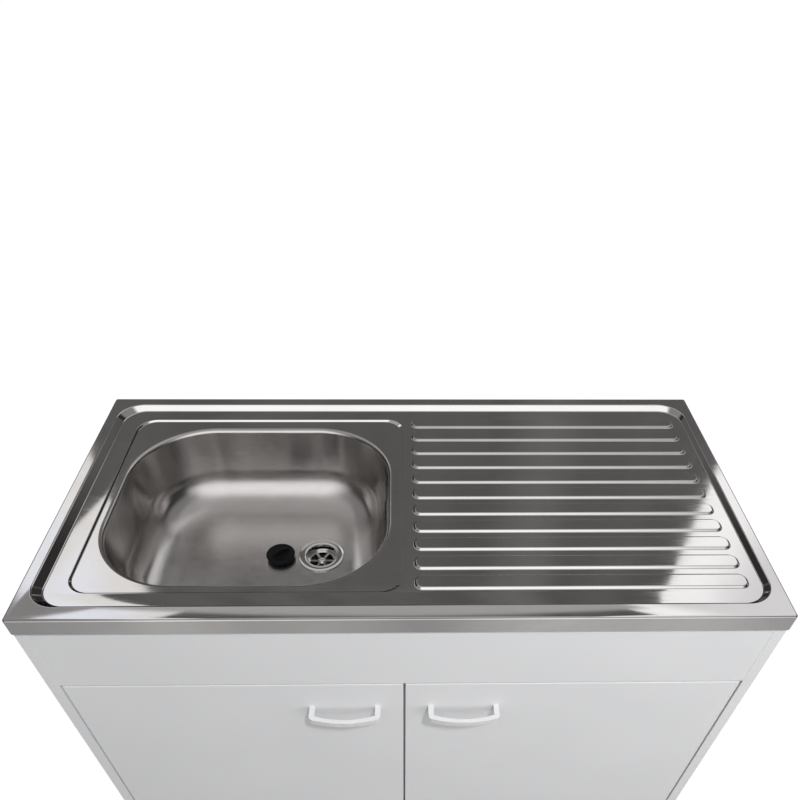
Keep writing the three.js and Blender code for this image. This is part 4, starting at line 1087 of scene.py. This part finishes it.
def handle_outline():
    outer = HANDLE_SPACING / 2 + HANDLE_END
    inner = outer - HANDLE_LEG
    bend = outer - HANDLE_CORNER
    shoulder = HANDLE_REACH + HANDLE_SHOULDER
    reach = HANDLE_REACH + HANDLE_BULGE
    crook = HANDLE_REACH - HANDLE_BAR
    turn = -HANDLE_REACH + HANDLE_CORNER
    points = [(-outer, 0), (-outer, turn)]
    points += quadratic(points[-1], (-outer, -HANDLE_REACH), (-bend, -shoulder), HANDLE_CORNER_STEPS)
    points += quadratic(points[-1], (0, shoulder - 2 * reach), (bend, -shoulder), HANDLE_BOW_STEPS)
    points += quadratic(points[-1], (outer, -HANDLE_REACH), (outer, turn), HANDLE_CORNER_STEPS)
    points += [(outer, 0), (inner, 0), (inner, -crook)]
    points += quadratic(points[-1], (0, -crook - 2 * HANDLE_BULGE), (-inner, -crook), HANDLE_BOW_STEPS)
    points += [(-inner, 0)]
    return points


def add_handles():
    for side in ("left", "right"):
        low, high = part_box(f"{side}_handle")
        place = Vector(((low.x + high.x) / 2, high.y, (low.z + high.z) / 2))
        half = HANDLE_HEIGHT / 2
        piece = extruded(f"{side}_bow_handle", handle_outline(), -half, half, ["handle"])
        piece.data.transform(Matrix.Translation(place))
        softened(piece, HANDLE_ROUND, angle=40, segments=4)
        settled(piece, f"{side}_door", [f"{side}_handle"])


# ---------------- CAD nodes that keep their shape ----------------
def dress(node, material, width):
    """Gives a CAD node its material and soft edges. Its mesh stays as it is."""
    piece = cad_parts[node]
    piece.data.materials.clear()
    piece.data.materials.append(MATERIALS[material])
    weld = piece.modifiers.new("weld", "WELD")
    weld.merge_threshold = WELD
    bevel = piece.modifiers.new("soft_edges", "BEVEL")
    bevel.width = width
    bevel.segments = 2
    bevel.limit_method = "ANGLE"
    bevel.angle_limit = BEVEL_ANGLE_CAD
    bevel.harden_normals = True


def dress_nodes():
    for node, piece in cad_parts.items():
        if not piece.hide_render:
            dress(node, *next(finish for part, *finish in FINISHES if part in node))


# ---------------- Camera, floor and light ----------------
def add_camera():
    """The photograph's camera, looking down at the sink from the front."""
    forward = Vector((
        math.sin(CAMERA_YAW) * math.cos(CAMERA_PITCH),
        math.cos(CAMERA_YAW) * math.cos(CAMERA_PITCH),
        -math.sin(CAMERA_PITCH),
    ))
    level = Vector((math.cos(CAMERA_YAW), -math.sin(CAMERA_YAW), 0))
    upright = level.cross(forward)
    right = math.cos(CAMERA_ROLL) * level + math.sin(CAMERA_ROLL) * upright
    up = -math.sin(CAMERA_ROLL) * level + math.cos(CAMERA_ROLL) * upright
    data = bpy.data.cameras.new("photo_camera")
    data.lens = CAMERA_LENS
    data.sensor_width = CAMERA_SENSOR
    data.shift_x, data.shift_y = CAMERA_SHIFT
    camera = bpy.data.objects.new("photo_camera", data)
    bpy.context.scene.collection.objects.link(camera)
    turn = Matrix((right, up, -forward)).transposed().to_4x4()
    camera.matrix_world = Matrix.Translation(CAMERA_PLACE) @ turn
    bpy.context.scene.camera = camera


def floor_material():
    """A pale floor that shows white to the camera and keeps the unit's soft shadow."""
    shader = Shader("pale_floor")
    tone = shader.mix(shader.spread(shader.noise(FLOOR_SPECKLE), 0, 1), *FLOOR_TONES)
    shader.set(Base_Color=tone, Roughness=FLOOR_ROUGH, Specular_IOR_Level=FLOOR_SPECULAR)
    path = shader.add("LightPath")
    seen = shader.math("MULTIPLY", path.outputs["Is Camera Ray"], FLOOR_SEEN)
    strength = shader.math("MULTIPLY_ADD", path.outputs["Is Glossy Ray"], FLOOR_MIRRORED, seen)
    glow = shader.fill(shader.add("Emission"), Strength=strength)
    both = shader.add("AddShader", shader.surface.outputs[0], glow.outputs[0])
    shader.link(both.outputs[0], shader.output.inputs["Surface"])
    return shader.material


def add_floor():
    corners = box_points(-FLOOR_REACH, FLOOR_REACH, -FLOOR_REACH, FLOOR_REACH)
    mesh = bpy.data.meshes.new("floor")
    mesh.from_pydata([(x, y, 0) for x, y in corners], [], [(0, 1, 2, 3)])
    mesh.materials.append(floor_material())
    floor = bpy.data.objects.new("floor", mesh)
    bpy.context.scene.collection.objects.link(floor)


def add_world():
    """A pale yard that the steel mirrors: a dark wall behind the unit, bright sky on both sides of it."""
    world = bpy.data.worlds.new("yard")
    bpy.context.scene.world = world
    nodes = Nodes(world)
    math_node, fade, blend = nodes.math, nodes.fade, nodes.mix
    x, y, z = nodes.add("SeparateXYZ", nodes.add("TexCoord").outputs["Generated"]).outputs
    azimuth = math_node("MULTIPLY", math_node("ARCTAN2", x, y), 180 / math.pi)
    height = math_node("MULTIPLY", math_node("ARCSINE", z), 180 / math.pi)

    along = nodes.add("CombineXYZ", azimuth, math_node("MULTIPLY", height, WALL_STREAK_STRETCH)).outputs[0]
    streaks = nodes.fill(nodes.add("TexNoise", along), Scale=WALL_STREAK_SCALE, Detail=3).outputs["Fac"]
    wall = fade(streaks, NOISE_SPAN, *WALL_LIGHT)
    for middle, reach, extra in WALL_GLOWS:
        glow = math_node("ABSOLUTE", math_node("SUBTRACT", azimuth, middle))
        wall = math_node("ADD", wall, fade(glow, (0, reach), extra, 0))
    wall = blend(wall, (0, 0, 0), WALL_TINT)

    left = blend(fade(azimuth, SKY_LEFT_TURN), SKY_FAR_LEFT, SKY_LEFT)
    left = blend(fade(azimuth, SKY_LEFT_END), SIDES, left)
    right = blend(fade(azimuth, SKY_RIGHT_TURN), SKY_RIGHT, SKY_FAR_RIGHT)
    right = blend(fade(azimuth, SKY_RIGHT_END), right, SIDES)
    light = blend(fade(azimuth, MIDDLE_EDGE), left, right)
    inside = math_node("MULTIPLY", fade(azimuth, WALL_LEFT), fade(azimuth, WALL_RIGHT, 1, 0))
    light = blend(inside, light, wall)
    clear = math_node("MULTIPLY", fade(azimuth, ROOF_RIGHT), fade(azimuth, SKY_RIGHT_END, 1, 0))
    roofed = math_node("SUBTRACT", 1.0, clear)
    light = blend(math_node("MULTIPLY", fade(height, ROOF_EDGE), roofed), light, ROOF)
    turned_away = fade(math_node("ABSOLUTE", azimuth), HORIZON_TURN)
    dark = math_node("MAXIMUM", turned_away, fade(height, HORIZON_FOOT, 1, 0))
    horizon = blend(dark, HORIZON, HORIZON_DARK)
    light = blend(fade(height, HORIZON_EDGE, 1, 0), light, horizon)
    front = blend(fade(math_node("ABSOLUTE", azimuth), FRONT_TURN), SIDES, FRONT)
    light = blend(fade(y, FRONT_EDGE, 1, 0), light, front)

    back = fade(z, DAYLIGHT_RISE, *DAYLIGHT_BACK)
    more = math_node("SUBTRACT", DAYLIGHT, back)
    daylight = math_node("ADD", back, math_node("MULTIPLY", more, fade(y, DAYLIGHT_EDGE, 1, 0)))
    mirrored, plain, white = (
        nodes.add("Background", colour, strength).outputs[0]
        for colour, strength in ((light, 1.0), ((1, 1, 1), daylight), ((1, 1, 1), 1.0))
    )
    path = nodes.add("LightPath")
    lit = nodes.add("MixShader", path.outputs["Is Glossy Ray"], plain, mirrored).outputs[0]
    seen = nodes.add("MixShader", path.outputs["Is Camera Ray"], lit, white).outputs[0]
    nodes.add("OutputWorld", seen)


def add_lamp(name, place, size, power):
    """A soft box that steel doesn't mirror."""
    data = bpy.data.lights.new(name, "AREA")
    data.size = size
    data.energy = power
    lamp = bpy.data.objects.new(name, data)
    bpy.context.scene.collection.objects.link(lamp)
    turn = (LAMP_AIM - place).to_track_quat("-Z", "Y").to_matrix().to_4x4()
    lamp.matrix_world = Matrix.Translation(place) @ turn
    lamp.visible_glossy = False


add_camera()
add_sink_top()
add_waste_flange()
add_strainer()
add_waste_screw()
add_plug()
add_trap_nut("trap_union_nut", "trap_nut", COLLAR_RADIUS, level=False)
add_trap_nut("outlet_union_nut", "outlet_nut", STUB_RADIUS, level=True)
add_trap_pipes()
add_trap_bottle()
add_handles()
dress_nodes()
add_floor()
add_world()
add_lamp("key_lamp", *KEY_LAMP)
add_lamp("fill_lamp", *FILL_LAMP)

bpy.context.scene.view_settings.view_transform = "Standard"
